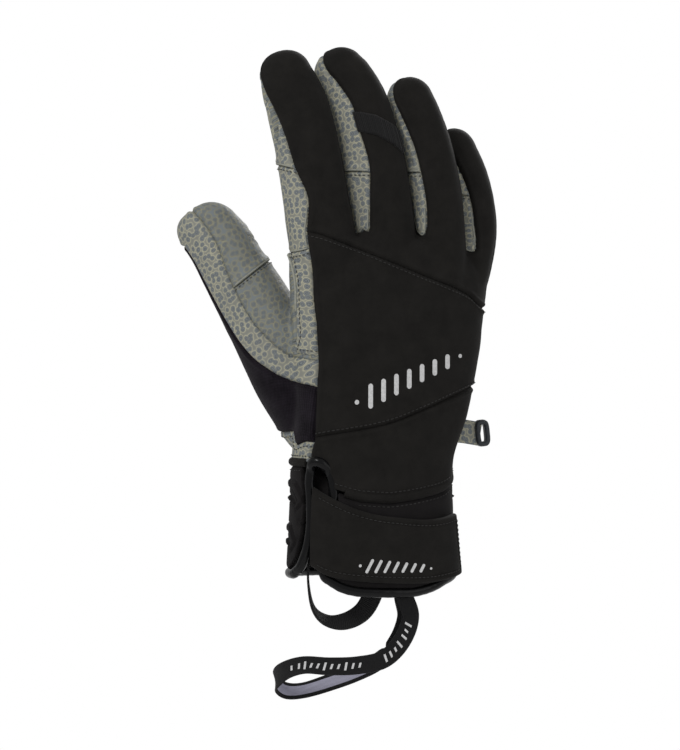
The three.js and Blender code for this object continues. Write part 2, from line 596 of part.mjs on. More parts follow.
// A bead or tape swept along a path
function sweep(path, closed, section) {
  const n = path.length;
  const rings = path.map((p, i) => {
    const a = path[closed ? (i + n - 1) % n : Math.max(0, i - 1)].p;
    const b = path[closed ? (i + 1) % n : Math.min(n - 1, i + 1)].p;
    const t = b.clone().sub(a).normalize();
    const w = p.w.clone().addScaledVector(t, -p.w.dot(t)).normalize();
    const h = t.clone().cross(w).normalize();
    return section.map(([x, y]) => p.p.clone().addScaledVector(w, x).addScaledVector(h, y));
  });
  if (!closed) return solid(rings);
  const m = section.length;
  const pos = [];
  rings.forEach((ring) => ring.forEach((q) => pos.push(q.x, q.y, q.z)));
  const tri = [];
  for (let r = 0; r < n; r++) {
    for (let i = 0; i < m; i++) {
      const [r2, j] = [(r + 1) % n, (i + 1) % m];
      tri.push(r * m + i, r * m + j, r2 * m + j, r * m + i, r2 * m + j, r2 * m + i);
    }
  }
  return fromTriangles(pos, tri);
}
const circle = (r, n) => Array.from({ length: n }, (_, i) => {
  const t = i * 2 * Math.PI / n;
  return [r * Math.cos(t), r * Math.sin(t)];
});
const flat = (w, t) => [[-w / 2, -t / 2], [w / 2, -t / 2], [w / 2, t / 2], [-w / 2, t / 2]];

// Binding: round the hem, up one edge of the slit, over its top and down the other
const bindPath = [];
for (let d = -31; d <= 268; d += 11) {
  const m = norm(d);
  bindPath.push({ p: cuffPoint(d, hem(m), -CUFF_WALL / 2), w: outward(d) });
}
for (const [d, z] of [[-86, 1.5], [-80, 3]]) {
  bindPath.push({ p: cuffPoint(d, z, -CUFF_WALL / 2 + 0.4), w: outward(d) });
}
const bead = (col, z, grow) => {
  const d = degFor(table(SLIT, z, col), z);
  return { p: cuffPoint(d, z, grow), w: outward(d) };
};
for (const z of [6, 15, 26, 38, 47, 53]) bindPath.push(bead(1, z, 0.6 - CUFF_WALL / 2));
bindPath.push(bead(1, 56.5, 0.6), bead(2, 56.5, 0.6));
for (const z of [52, 45, 36, 24, 12, 4]) bindPath.push(bead(2, z, -0.4 - CUFF_WALL / 2));
for (const d of [-46, -41]) bindPath.push({ p: cuffPoint(d, hem(d) - 0.2, -CUFF_WALL / 2), w: outward(d) });
const binding = sweep(bindPath, true, circle(BIND_R, 7));
nodes.push(['edge_binding', binding, 'binding']);

// Gusset behind the slit
const GUSSET_DEGS = [-92, -82, -72, -62, -52, -42, -34];
const GUSSET_ENDS = [6, 50];          // its lower and upper height
const GUSSET_BACK = -CUFF_WALL - 1.9;
const GUSSET_THICK = 1.3;
const gusset = cuffPlate(
  GUSSET_DEGS, () => GUSSET_ENDS[0], () => GUSSET_ENDS[1], GUSSET_BACK - GUSSET_THICK, GUSSET_BACK, 4,
);
nodes.push(['slit_gusset', gusset, 'softshell']);

// Rolled seam between the palm and the cuff, open at the slit
const rollPath = [];
for (let d = -30; d <= 292; d += 11.5) {
  rollPath.push({ p: cuffPoint(d, cuffTop(norm(d)), -1.6), w: outward(d) });
}
nodes.push(['cuff_seam_roll', sweep(rollPath, false, circle(ROLL_R - 0.35, 6)), 'binding']);

// Closure strap over the cuff
const strapDegs = [];
for (let d = STRAP_ENDS[0]; d <= STRAP_ENDS[1]; d += 6.9) strapDegs.push(d);
const strapLow = (d) => table(STRAP, d, 2);
const strapHigh = (d) => table(STRAP, d, 1);
const strap = cuffPlate(strapDegs, strapLow, strapHigh, STRAP_LIFT, STRAP_LIFT + STRAP_THICK, 3);
nodes.push(['closure_strap', strap, 'softshell']);

// Ribbed webbing across the back of the middle finger
const mid = FINGERS.middle;
const bandCut = prism([...BAND_LINE, ...shifted(BAND_LINE, -BAND_WIDTH).reverse()], -FAR, FAR);
const bandShell = fingerLoft(mid, WEB_THICK + GAP).subtract(fingerLoft(mid, GAP));
const bandSlab = slab(mid, (i) => mid.radial[i] + 2, () => ULNAR_SEAM - 8, 0);
const neighbours = union([fingerLoft(FINGERS.ring, GAP), fingerLoft(FINGERS.index, GAP)]);
nodes.push(['finger_band', bandShell.intersect(bandCut).intersect(bandSlab).subtract(neighbours), 'webbing']);

// Side tab and clip at the little-finger side of the wrist
const tabPath = TAB_PATH.map((p) => ({ p: vec(...p), w: vec(0, 0, 1) }));
const clear = union(formParts(GAP, 34));
nodes.push(['side_tab', sweep(tabPath, false, flat(...TAB_SIZE)).subtract(clear), 'leather']);
const block = ([w, d, h]) => {
  const box = new THREE.BoxGeometry(w, d, h);
  box.deleteAttribute('normal');
  box.deleteAttribute('uv');
  const merged = mergeVertices(box);
  return fromTriangles(merged.attributes.position.array, Array.from(merged.index.array));
};
const clipFrame = block(CLIP).subtract(block(CLIP_EYE));
nodes.push(['side_clip', clipFrame.rotate(CLIP_TURN).translate(CLIP_AT), 'plastic']);

// Loops
const loop = (rows, width) => {
  const curve = new THREE.CatmullRomCurve3(rows.map((r) => vec(r[0], r[1], r[2])), false, 'centripetal');
  const steps = Math.round(rows.length * 2.2);
  const path = [];
  for (let i = 0; i <= steps; i++) {
    const t = i / steps;
    const k = Math.min(rows.length - 2, Math.floor(t * (rows.length - 1)));
    const f = t * (rows.length - 1) - k;
    const [here, next] = [rows[k], rows[k + 1]].map((row) => vec(...row.slice(3)).normalize());
    const w = here.lerp(next, f).normalize();
    path.push({ p: curve.getPoint(t), w });
  }
  return sweep(path, false, flat(width, WEB_THICK));
};
nodes.push(['pull_loop', loop(PULL, PULL_WIDTH), 'webbing']);
const leg = (z, grow, turn) => {
  const side = cuffPoint(TAPE_AT + 2, z, grow).sub(cuffPoint(TAPE_AT - 2, z, grow)).normalize();
  return [...cuffPoint(TAPE_AT, z, grow).toArray(), ...side.multiplyScalar(turn).toArray()];
};
const front = -CUFF_WALL - 1.3;
const tape = [
  leg(9, front, 1), leg(0, front, 1), leg(-9, front - 0.3, 1), ...TAPE,
  leg(-9, front - 2.4, -1), leg(0, front - 2.0, -1), leg(9, front - 1.7, -1),
];
nodes.push(['tape_loop', loop(tape, TAPE_WIDTH), 'tape']);

// Materials, each node its own
const LOOKS = {
  softshell: { color: 0x1d1c1b, roughness: 0.9 },
  leather: { color: 0x75797a, roughness: 0.75 },
  knit: { color: 0x17151a, roughness: 0.95 },
  binding: { color: 0x0e0e0f, roughness: 0.35 },
  webbing: { color: 0x131313, roughness: 0.8 },
  tape: { color: 0x18181a, roughness: 0.8 },
  plastic: { color: 0x0c0c0d, roughness: 0.4 },
};

// Slivers left by the cuts are dropped
const largest = (body) => body.decompose().sort((a, b) => b.volume() - a.volume())[0];

const group = new THREE.Group();
group.name = 'climbing_glove';
for (const [name, body, look] of nodes) {
  const mesh = largest(largest(body).simplify(FINENESS)).getMesh();
  const geometry = new THREE.BufferGeometry();
  geometry.setAttribute('position', new THREE.BufferAttribute(Float32Array.from(mesh.vertProperties), 3));
  geometry.setIndex(Array.from(mesh.triVerts));
  const flatShaded = geometry.toNonIndexed();
  flatShaded.computeVertexNormals();
  const material = new THREE.MeshStandardMaterial({ ...LOOKS[look], name: `${name}_${look}` });
  const node = new THREE.Mesh(flatShaded, material);
  node.name = name;
  group.add(node);
}

export default group;
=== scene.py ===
# Climbing glove: softshell back, printed leather palm, knit thumb back, padded cuff and two loops.
# Shapes are worked out in millimetres and turned into metres when each piece is made.
import math
from itertools import product

import bpy
import numpy as np
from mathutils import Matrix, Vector
from mathutils.kdtree import KDTree


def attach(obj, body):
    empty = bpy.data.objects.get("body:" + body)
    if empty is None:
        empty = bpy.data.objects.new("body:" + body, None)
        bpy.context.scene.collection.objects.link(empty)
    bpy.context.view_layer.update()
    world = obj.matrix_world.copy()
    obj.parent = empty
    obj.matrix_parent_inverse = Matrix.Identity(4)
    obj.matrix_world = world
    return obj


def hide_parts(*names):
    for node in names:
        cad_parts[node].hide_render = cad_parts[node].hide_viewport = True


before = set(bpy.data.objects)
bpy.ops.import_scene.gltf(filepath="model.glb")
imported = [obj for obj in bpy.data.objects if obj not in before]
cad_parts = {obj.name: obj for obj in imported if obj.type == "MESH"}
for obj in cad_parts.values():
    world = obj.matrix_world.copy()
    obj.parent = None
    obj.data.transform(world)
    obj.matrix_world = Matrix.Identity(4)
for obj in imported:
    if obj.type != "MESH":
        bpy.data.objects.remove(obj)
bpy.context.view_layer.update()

MM = 0.001

# Driving sizes, as in the part
TILT = math.radians(20)
COS_T, SIN_T = math.cos(TILT), math.sin(TILT)
MID_X = 8
CUFF_X = 0.8
CUFF_WALL = 4.0
BIND_R = 2.3
ROLL_R = 2.4
GAP = 0.36
STRAP_LIFT = 0.7
STRAP_THICK = 2.2
WEB_THICK = 1.2
PULL_WIDTH = 10
TAPE_WIDTH = 9
TAPE_AT = 12
BODY_POWER = 2.35
FINGER_POWER = 2.2
CUFF_POWER = 2.3
ULNAR_SEAM = 104
VOXEL = 0.8
WALL_EDGE = 1.7          # how far a panel's cut edge turns in
THUMB_FULL = 1.0         # padding that rounds the thumb out
BODY_TOP = 169.5         # height of the hand body at its middle
LEAST_DEPTH = 17         # half depth below which the body's field isn't flattened
NAIL_SIDE = 270          # angle of the thumb's nail side and of a finger's thumb side
REACH, BLEND = 8, 0.8    # where the back's field is cut off, and how forms share it
CAP_STEPS = (12, 24, 36, 48, 60, 71, 80, 86)    # rings of a rounded tip, in degrees
TOP_DROP = 0.0046        # fall of the knuckle line towards the little finger, per mm squared

# Hand body: height, centre x, centre y, half width, half depth, cup towards the palm, share of the drop
BODY = [
    [30, 0.8, 0, 41.9, 26.7, 0, 0], [54, 1.2, 0.3, 41.2, 26.0, 0, 0], [66, 3.0, 1.5, 42.5, 25.0, 0, 0],
    [80, 5.6, 2.5, 45.0, 24.5, 1, 0], [110, 8.8, 3.0, 49.0, 23.0, 3, 0], [125, 9.6, 3.0, 50.5, 22.0, 4, 0.1],
    [152, 10.4, 3.0, 52.8, 19.5, 6, 0.6], [162, 10.4, 3.0, 51.6, 17.2, 6, 0.9],
    [167, 10.2, 3.0, 49.0, 14.0, 6, 1], [169.5, 10.0, 3.0, 42.0, 8.0, 6, 1],
]

# Fingers: x, y, z, half width, half depth; tip is the height of the rounded end. radial is the angle of the
# grey side's seam at each row, in degrees from the back towards the little finger. cross is the height of the
# seam across the front, and lean its rise for each mm towards the thumb.
FINGERS = {
    "index": {
        "rows": [
            [-20.5, -10, 138, 15.0, 14.0], [-22.0, -10.5, 155, 16.4, 15.5], [-24.6, -11, 172, 16.6, 14.8],
            [-27.0, -11.4, 188, 16.2, 14.2], [-29.6, -11, 204, 15.9, 13.7], [-32.8, -9.8, 220, 15.7, 13.2],
            [-36.4, -8, 234, 15.3, 12.6], [-40.2, -6, 245, 13.9, 12.0], [-42.0, -5, 250, 12.7, 11.5],
        ],
        "tip": 11.5, "radial": [-24, -24, -24, -13, -29, -37, -48, -64, -74], "cross": 200, "lean": 0.28,
        "spread": -2.4,
    },
    "middle": {
        "rows": [
            [8.6, 1, 138, 14.5, 14.0], [7.6, 0.5, 155, 15.4, 15.5], [6.6, 0, 172, 15.7, 14.8],
            [5.2, -0.5, 188, 15.4, 14.2], [2.6, 0, 204, 15.3, 13.7], [-1.2, 1, 220, 15.1, 13.2],
            [-5.6, 3, 235, 14.7, 12.6], [-11.6, 5.5, 247, 13.8, 12.0], [-15.0, 7, 252, 12.8, 11.5],
        ],
        "tip": 11.5, "radial": [-24, -24, -25, -20, -10, -12, -13, -20, -24], "cross": 201, "lean": 0.05,
        "spread": -0.8,
    },
    "ring": {
        "rows": [
            [35.0, 8, 132, 12.6, 13.5], [34.8, 8.5, 150, 13.4, 14.5], [34.6, 9, 166, 13.5, 13.8],
            [33.6, 9.5, 184, 13.3, 12.9], [31.2, 10, 200, 13.0, 12.4], [27.6, 11.5, 216, 12.8, 12.0],
            [23.2, 14, 230, 12.2, 11.5], [20.4, 16, 238, 11.4, 11.0],
        ],
        "tip": 11.5, "radial": [-26, -26, -27, -23, -24, -27, -36, -44], "cross": 201, "lean": 0.05,
        "spread": 0.8,
    },
    "little": {
        "rows": [
            [45.5, 17, 124, 8.5, 8.0], [47.5, 19.5, 140, 9.8, 10.5], [50.2, 24, 156, 11.4, 12.0],
            [52.0, 27.8, 172, 12.0, 11.8], [51.0, 29, 186, 11.9, 11.4], [48.0, 31, 200, 11.5, 11.0],
            [43.4, 33.5, 213, 10.6, 10.3],
        ],
        "tip": 11.5, "radial": [10, 12, 16, 5, 2, -6, -16], "cross": 190.5, "lean": 0.05,
        "spread": 2.4,
    },
}
ORDER = ["index", "middle", "ring", "little"]
SPREAD_FROM, SPREAD_TO = 164, 186

# Thumb: same columns. knit is the half angle of the knit about the nail side, pad_back and pad_front the
# edges of the pad piece, in degrees from the back.
THUMB = {
    "rows": [
        [-17, 8, 62, 13, 13], [-24, 8, 74, 17.5, 18], [-31.5, 8, 88, 19.5, 20], [-38.5, 8.5, 101, 20, 20],
        [-46, 9, 115, 19.2, 19], [-54, 10, 129, 18, 17.8], [-61.5, 11, 142, 17, 16.8],
        [-68.5, 12, 154, 16, 15.8], [-74.5, 13, 164, 15, 15], [-80.5, 14, 171.5, 13.8, 13.6],
    ],
    "tip": 14,
    "knit": [60, 60, 58, 48, 37, 31, 27, 24, 22, 20],
    "pad_back": [40, 40, 38, 20, -4, -16, -16, -12, -3, 3],
    "pad_front": [150, 160, 172, 180, 184, 184, 180, 174, 164, 152],
}
THUMB_CROSS = [(-66, 145), (-51, 157)]      # seam across the pad (x, z)

# Seams of the back (x, z) and edge of the black back by height (z, x)
BACK_EDGE = [
    (40, -31), (61, -29.5), (68, -27.5), (93, -26.5), (105, -25.5), (125, -26.5), (145, -29), (171, -31.5),
    (190, -32),
]
UPPER_SEAM = [(-60, 172), (-31.5, 171), (-15, 166), (1, 160), (27, 149.5), (48, 141), (57, 134), (80, 122)]
LOWER_SEAM = [(-60, 62), (-27.5, 69), (6, 75), (27.5, 83), (52.5, 94.5), (80, 106)]
# Palm seams (along the palm, height)
PALM_SEAM = [
    (-90, 155), (-52, 160), (-30, 168), (-10, 170), (8, 167), (20, 162), (35, 157), (53, 155), (90, 154),
]
PATCH = [
    (48, 148.5), (43.5, 151.5), (25, 152), (14, 152.5), (3.5, 155), (-5.5, 159.5), (-16, 162.5), (-25, 161.5),
    (-35, 157), (-43, 152), (-38, 144), (-28, 138), (-20, 130.5), (-15.5, 123.5), (-14.5, 109.5), (-15, 92),
    (-13.5, 86), (-11, 84.5), (-1, 83), (16.5, 84.5), (36, 86), (43.5, 89), (45, 104), (47, 125.5),
]
# Thumb base seam: on the palm (along the palm, height) and on the back (x, z)
THUMB_BASE_PALM = [
    (-60, 170), (-52, 164), (-44, 152), (-34, 141), (-26, 131), (-22, 120), (-21.5, 109.5), (-23.5, 98.5),
    (-28, 87.5), (-34.5, 80), (-44.5, 72.5), (-60, 66), (-60, 60),
]
THUMB_BASE_BACK = [
    (-46, 175), (-44, 168), (-41, 161.5), (-37.6, 147), (-37.1, 132), (-36.5, 119), (-37.5, 111),
    (-22, 107.5), (-20, 90), (-20, 68), (-32, 67), (-40, 64), (-50, 64),
]
# Lower edge of the knit, on the back and on the palm (x, z)
KNIT_LOW_BACK = [(-110, 117), (-70.5, 117), (-58, 107), (-46.5, 100.5), (-36, 96.5), (-25.5, 94.5), (0, 92)]
KNIT_LOW_PALM = [(-110, 122), (-70, 121), (-58, 106), (-44, 88), (-32, 75), (0, 60)]

# Cuff: height, half width, half depth; hem and upper edge by angle; slit: height and the x of its two sides;
# strap: angle, upper and lower edge
CUFF = [(0, 43.6, 27.6), (14, 42.8, 27.2), (34, 41.9, 26.7), (52, 41.2, 26.0), (60, 41.2, 26.0)]
HEM = [
    (-130, 1.8), (-84, 1.3), (-60, 1.5), (-49, 1.8), (-41, -1.5), (-32, -5), (-20, -7), (-5, -7.8),
    (15, -7.8), (30, -5.8), (48, -2), (70, 0.3), (92, 1.2), (110, 1.8),
]
CUFF_TOP = [
    (-115, 57), (-66, 56.5), (-56, 50), (-43, 44), (-18, 39.5), (0, 38.5), (19, 40.5), (44, 43.5), (68, 47.5),
    (90, 53), (116, 57),
]
SLIT = [
    (-12, -41, -24.5), (0, -38.5, -24.5), (7.5, -34, -23.6), (17.5, -31, -22), (27.5, -30, -20.4),
    (37.5, -30.2, -18.8), (47.5, -30.8, -19), (53, -30, -21.5), (57, -27.5, -24.5),
]
STRAP = [
    (-56, 44.5, 5.5), (-42, 40, 1), (-29, 36, -1), (-18, 33, -2), (-5, 30.5, -2.8), (10, 28.8, -3.4),
    (24, 28.2, -3.2), (40, 29, -2), (56, 30.5, -0.6), (70, 31.5, 0.5),
]
STRAP_END = 69           # angle of the strap's free end
# Loops: centre line and the direction of the webbing's width
PULL = [
    [-30.5, -11, 9, 0, 1, 0], [-30.5, -11, -4, 0, 1, 0], [-28, -11, -16, 0.1, 1, 0.1],
    [-21.5, -11.5, -22, 0.3, 0.85, 0.4], [-12.5, -13, -22.5, 0.1, 0.5, 0.8], [-4, -15, -18, -0.5, 0.3, 0.8],
    [1, -16, -10, -0.85, 0.2, 0.45], [3.5, -16, 0, -0.95, 0.2, 0.2], [3.5, -15.5, 9, -1, 0, 0],
]
TAPE = [
    [20.3, -15, -20, 1, 0.3, 0.1], [16, -17.5, -32, 0.85, 0, -0.5], [7, -19, -41, 0.55, 0, -0.85],
    [-6, -20, -44, 0.15, 0, -1], [-20, -20, -44.5, 0, 0.1, -1], [-33, -18.5, -44, 0, 0.2, -1],
    [-43, -14, -47.5, 0.2, 0.15, -1], [-46.5, -8, -53, 0.1, -0.1, -1], [-42, -3.5, -57.5, 0, -0.4, -0.9],
    [-33, -2.5, -57.5, 0, -0.55, -0.85], [-20, -4, -53.5, -0.15, -0.3, -1], [-7, -8, -48.5, -0.35, -0.1, -1],
    [5, -11, -42, -0.5, 0, -0.9], [14, -12.5, -32, -0.85, 0, -0.5], [18, -12, -20, -1, -0.3, 0.1],
]

# Bottoms of the gaps between the fingers, seen from the back
CROTCHES = [(-1.3, 171.5), (26.4, 169.5), (51.3, 158.2)]
CROTCH_CURVE = 1.4

# Side tab's centre line and the clip's place
TAB_PATH = [[37.4, 11.1, 71.5], [43.3, 13.1, 72], [47.3, 14.3, 71.7], [50.4, 15.3, 71.2]]
CLIP_AT = [56.7, 17.1, 70.8]


def table(rows, x, col=1):
    """Linear look-up of a table's column by its first one."""
    rows = np.array(rows, float)
    return np.interp(x, rows[:, 0], rows[:, col])


def smoothstep(x, low, high):
    """Rises smoothly from 0 at low to 1 at high."""
    t = np.clip((x - low) / (high - low), 0, 1)
    return t * t * (3 - 2 * t)


def spline(rows, per):
    """Catmull-Rom through the rows, with per steps in each span."""
    rows = np.array(rows, float)
    ends = np.vstack([2 * rows[0] - rows[1], rows, 2 * rows[-1] - rows[-2]])
    out = []
    for i in range(1, len(ends) - 2):
        p0, p1, p2, p3 = ends[i - 1:i + 3]
        for t in np.arange(per) / per:
            out.append(0.5 * (2 * p1 + (p2 - p0) * t + (2 * p0 - 5 * p1 + 4 * p2 - p3) * t * t
                              + (3 * p1 - p0 - 3 * p2 + p3) * t ** 3))
    out.append(ends[-2])
    return np.array(out)


def arc_length(points):
    """Length along a run up to each of its points."""
    return np.concatenate([[0], np.cumsum(np.linalg.norm(np.diff(points, axis=0), axis=1))])


def unit(v):
    """Vectors made one long."""
    return v / np.maximum(np.linalg.norm(v, axis=-1, keepdims=True), 1e-9)


def power(c, e):
    """A power that keeps the sign, for squarish ovals."""
    return np.sign(c) * np.abs(c) ** e


# Tubes: fingers and thumb, with frames along them

def make_tube(data, extra):
    """Dense stations of a finger or the thumb: centre, frame, half sizes and any extra columns."""
    rows = np.array([list(r) + [data[k][i] for k in extra] for i, r in enumerate(data["rows"])], float)
    fine = spline(rows, 10)
    centre = fine[:, :3]
    along = unit(np.gradient(centre, axis=0))
    palm = unit(np.array([0.0, 1.0, 0.0]) - along * along[:, 1:2])
    tube = {"c": centre, "along": along, "palm": palm, "across": np.cross(palm, along), "a": fine[:, 3],
            "b": fine[:, 4], "s": arc_length(centre), "tip": data["tip"]}
    for i, key in enumerate(extra):
        tube[key] = fine[:, 5 + i]
    return tube


TUBES = {name: make_tube(FINGERS[name], ["radial"]) for name in ORDER}
TUBES["thumb"] = make_tube(THUMB, ["knit", "pad_back", "pad_front"])


def tube_at(tube, points):
    """Where points lie on a tube: angle from the back in degrees, place along, distance outside, station."""
    best = np.empty(len(points), int)
    for i in range(0, len(points), 20000):
        part = points[i:i + 20000]
        gap = ((part[:, None, :] - tube["c"][None]) ** 2).sum(2)
        best[i:i + 20000] = gap.argmin(1)
    rel = points - tube["c"][best]
    t = (rel * tube["along"][best]).sum(1)
    u = (rel * tube["across"][best]).sum(1)
    v = (rel * tube["palm"][best]).sum(1)
    a, b = tube["a"][best], tube["b"][best]
    ring = ((np.abs(u) / a) ** FINGER_POWER + (np.abs(v) / b) ** FINGER_POWER) ** (1 / FINGER_POWER)
    beyond = np.where(best == len(tube["c"]) - 1, np.maximum(t, 0) / tube["tip"], 0)
    short = np.where(best == 0, np.maximum(-t, 0), 0)
    rho = np.sqrt(ring ** 2 + beyond ** 2)
    out = (rho - 1) * (a + b) / 2 + short
    angle = np.degrees(np.arctan2(u / a, -v / b))
    return {"angle": angle, "s": tube["s"][best] + t, "out": out, "i": best, "r": (a + b) / 2, "u": u, "v": v}


BODY_FINE = spline(BODY, 8)


def body_at(points):
    """Where points lie on the hand body: along the palm, depth, distance outside, angle."""
    z = points[:, 2]
    cx, cy, a, b, cup = [np.interp(z, BODY_FINE[:, 0], BODY_FINE[:, k]) for k in range(1, 6)]
    x, y = points[:, 0] - cx, points[:, 1] - cy
    u = x * COS_T + y * SIN_T
    v = -x * SIN_T + y * COS_T - cup * np.maximum(0, u / a) ** 2
    top = BODY_TOP - TOP_DROP * np.maximum(0, u) ** 2
    flat_b = np.maximum(b, LEAST_DEPTH)
    ring = ((np.abs(u) / a) ** BODY_POWER + (np.abs(v) / flat_b) ** BODY_POWER) ** (1 / BODY_POWER)
    out = np.maximum((ring - 1) * flat_b, z - top)
    angle = np.degrees(np.arctan2(u / a, -v / flat_b))
    return {"u": u, "v": v, "out": out, "a": a, "b": flat_b, "angle": angle}


def palm_s(points):
    """Coordinate along the tilted hand plane."""
    return (points[:, 0] - MID_X) * COS_T + points[:, 1] * SIN_T


# Union of the lofts

def ring_points(n, e):
    t = np.arange(n) / n * 2 * np.pi
    return power(np.cos(t), e), power(np.sin(t), e)


def tube_rings(tube, n=72):
    """Rings of a finger or the thumb, with its rounded tip; the thumb's is squarer and leans outwards."""
    cu, cv = ring_points(n, 2 / FINGER_POWER)
    last = len(tube["c"]) - 1
    square, drift = (0.66, np.array([-2.6, 0, 0])) if tube is TUBES["thumb"] else (0.86, np.zeros(3))

    def ring(k, centre, size):
        return (centre + np.outer(cu * tube["a"][k] * size, tube["across"][k])
                + np.outer(cv * tube["b"][k] * size, tube["palm"][k]))

    rings = [ring(k, tube["c"][k], 1) for k in range(last + 1)]
    for deg in CAP_STEPS:
        c, s = math.cos(math.radians(deg)) ** square, math.sin(math.radians(deg))
        rings.append(ring(last, tube["c"][last] + tube["along"][last] * tube["tip"] * s + drift * s * s, c))
    return rings


def body_rings(n=120):
    cu, cv = ring_points(n, 2 / BODY_POWER)
    rings = []
    for z, cx, cy, a, b, cup, share in BODY_FINE:
        u, v = a * cu, b * cv
        bend = cup * np.maximum(0, u / a) ** 2
        x = cx + u * COS_T - (v + bend) * SIN_T
        y = cy + u * SIN_T + (v + bend) * COS_T
        rings.append(np.stack([x, y, z - share * TOP_DROP * np.maximum(0, u) ** 2], 1))
    return rings


def closed_loft(rings, start):
    """Vertices and faces of a closed tube through the rings."""
    n = len(rings[0])
    points = np.vstack(rings + [rings[0].mean(0, keepdims=True), rings[-1].mean(0, keepdims=True)])
    low, high = len(rings) * n, len(rings) * n + 1
    faces = []
    for r in range(len(rings) - 1):
        for i in range(n):
            j = (i + 1) % n
            faces.append((r * n + i, r * n + j, (r + 1) * n + j, (r + 1) * n + i))
    for i in range(n):
        j = (i + 1) % n
        faces.append((low, j, i))
        faces.append((high, (len(rings) - 1) * n + i, (len(rings) - 1) * n + j))
    return points, [tuple(k + start for k in f) for f in faces]


def spread(points, shift):
    """The sideways move that keeps neighbouring fingers apart while the forms are joined."""
    return shift * smoothstep(points[:, 2], SPREAD_FROM, SPREAD_TO)


def distances_to_fingers(points):
    """Distance outside each of the spread fingers."""
    outs = []
    for name in ORDER:
        moved = points.copy()
        moved[:, 0] -= spread(points, FINGERS[name]["spread"])
        outs.append(tube_at(TUBES[name], moved)["out"])
    return np.array(outs)


def make_skin():
    """The glove's outer form above the cuff as one smooth mesh of triangles."""
    parts, faces, count = [], [], 0
    for key in ["body"] + ORDER + ["thumb"]:
        rings = body_rings() if key == "body" else tube_rings(TUBES[key])
        if key == "thumb":
            rings = [ring + THUMB_FULL * unit(ring - ring.mean(0)) for ring in rings]
        if key in ORDER:
            for ring in rings:
                ring[:, 0] += spread(ring, FINGERS[key]["spread"])
        points, own = closed_loft(rings, count)
        parts.append(points)
        faces += own
        count += len(points)
    mesh = bpy.data.meshes.new("form")
    mesh.from_pydata(np.vstack(parts).tolist(), [], faces)
    obj = bpy.data.objects.new("form", mesh)
    bpy.context.scene.collection.objects.link(obj)
    remesh = obj.modifiers.new("remesh", "REMESH")
    remesh.mode = "VOXEL"
    remesh.voxel_size = VOXEL
    made = obj.evaluated_get(bpy.context.evaluated_depsgraph_get()).to_mesh()
    made.calc_loop_triangles()

    def read(items, key, width, kind):
        flat = np.empty(len(items) * width, kind)
        items.foreach_get(key, flat)
        return flat.reshape(-1, width)

    points = read(made.vertices, "co", 3, np.float32).astype(float)
    tris = read(made.loop_triangles, "vertices", 3, np.int32)
    edges = read(made.edges, "vertices", 2, np.int32)
    bpy.data.objects.remove(obj)
    bpy.data.meshes.remove(mesh)
    for step in range(10):
        points = relax(points, edges, 0.5 if step % 2 == 0 else -0.35)
    points = relax_near(points, edges)
    own = np.argmin(distances_to_fingers(points), 0)
    own = np.where(points[:, 2] > SPREAD_FROM - 2, own, len(ORDER))
    points[:, 0] -= spread(points, np.array([FINGERS[n]["spread"] for n in ORDER] + [0.0])[own])
    return points, tris


def relax(points, edges, amount, mask=None):
    """Moves points towards the middle of their neighbours."""
    total = np.zeros_like(points)
    a, b = edges[:, 0], edges[:, 1]
    n = len(points)
    degree = np.bincount(a, minlength=n) + np.bincount(b, minlength=n)
    for k in range(3):
        total[:, k] = np.bincount(a, points[b, k], n) + np.bincount(b, points[a, k], n)
    moved = total / np.maximum(degree, 1)[:, None] - points
    if mask is not None:
        moved *= mask[:, None]
    return points + amount * moved


def relax_near(points, edges):
    """Rounds the joints between fingers, hand and thumb, where two forms meet."""
    outs = [body_at(points)["out"], tube_at(TUBES["thumb"], points)["out"]]
    outs = np.sort(np.vstack([outs, distances_to_fingers(points)]), 0)
    near = 1 - smoothstep(outs[1], 0.6, 5)
    for _ in range(14):
        points = relax(points, edges, 0.5, near)
    return points


def normals_of(points, tris):
    """Normals of the points, from the triangles round them."""
    corner = points[tris]
    face = np.cross(corner[:, 1] - corner[:, 0], corner[:, 2] - corner[:, 0])
    normal = np.zeros_like(points)
    for k in range(3):
        for j in range(3):
            normal[:, j] += np.bincount(tris[:, k], face[:, j], len(points))
    return unit(normal)


# Fields whose zero lines are the seams, in millimetres

def back_field(points):
    """Positive on the black back."""
    body = body_at(points)
    value = np.clip(np.minimum(points[:, 0] - table(BACK_EDGE, points[:, 2]), -body["v"]), -REACH, REACH)
    weights = np.exp(-np.maximum(body["out"], -0.6) / BLEND)
    total = value * weights
    for name in ORDER:
        at = tube_at(TUBES[name], points)
        radial, angle = TUBES[name]["radial"][at["i"]], at["angle"]
        inside = np.minimum(angle - radial, ULNAR_SEAM - angle)
        low = np.where(angle < radial - 120, -(angle + 360 - ULNAR_SEAM), inside)
        value = np.clip(np.radians(low) * at["r"], -REACH, REACH)
        weight = np.exp(-np.maximum(at["out"], -0.6) / BLEND)
        total = total + value * weight
        weights = weights + weight
    value = total / weights
    # The grey gaps end in a narrow U instead of a flat edge
    for x, z in CROTCHES:
        side = CROTCH_CURVE * (points[:, 0] - x)
        under = (side * side / CROTCH_CURVE - points[:, 2] + z) / np.sqrt(1 + 4 * side * side)
        near = 1 - smoothstep(np.abs(points[:, 0] - x), 4.5, 7)
        near = 3.2 * smoothstep(under, -0.2, 1.0) * near * smoothstep(points[:, 2], z - 9, z - 3)
        value = value + near * (value < 0)
    return value


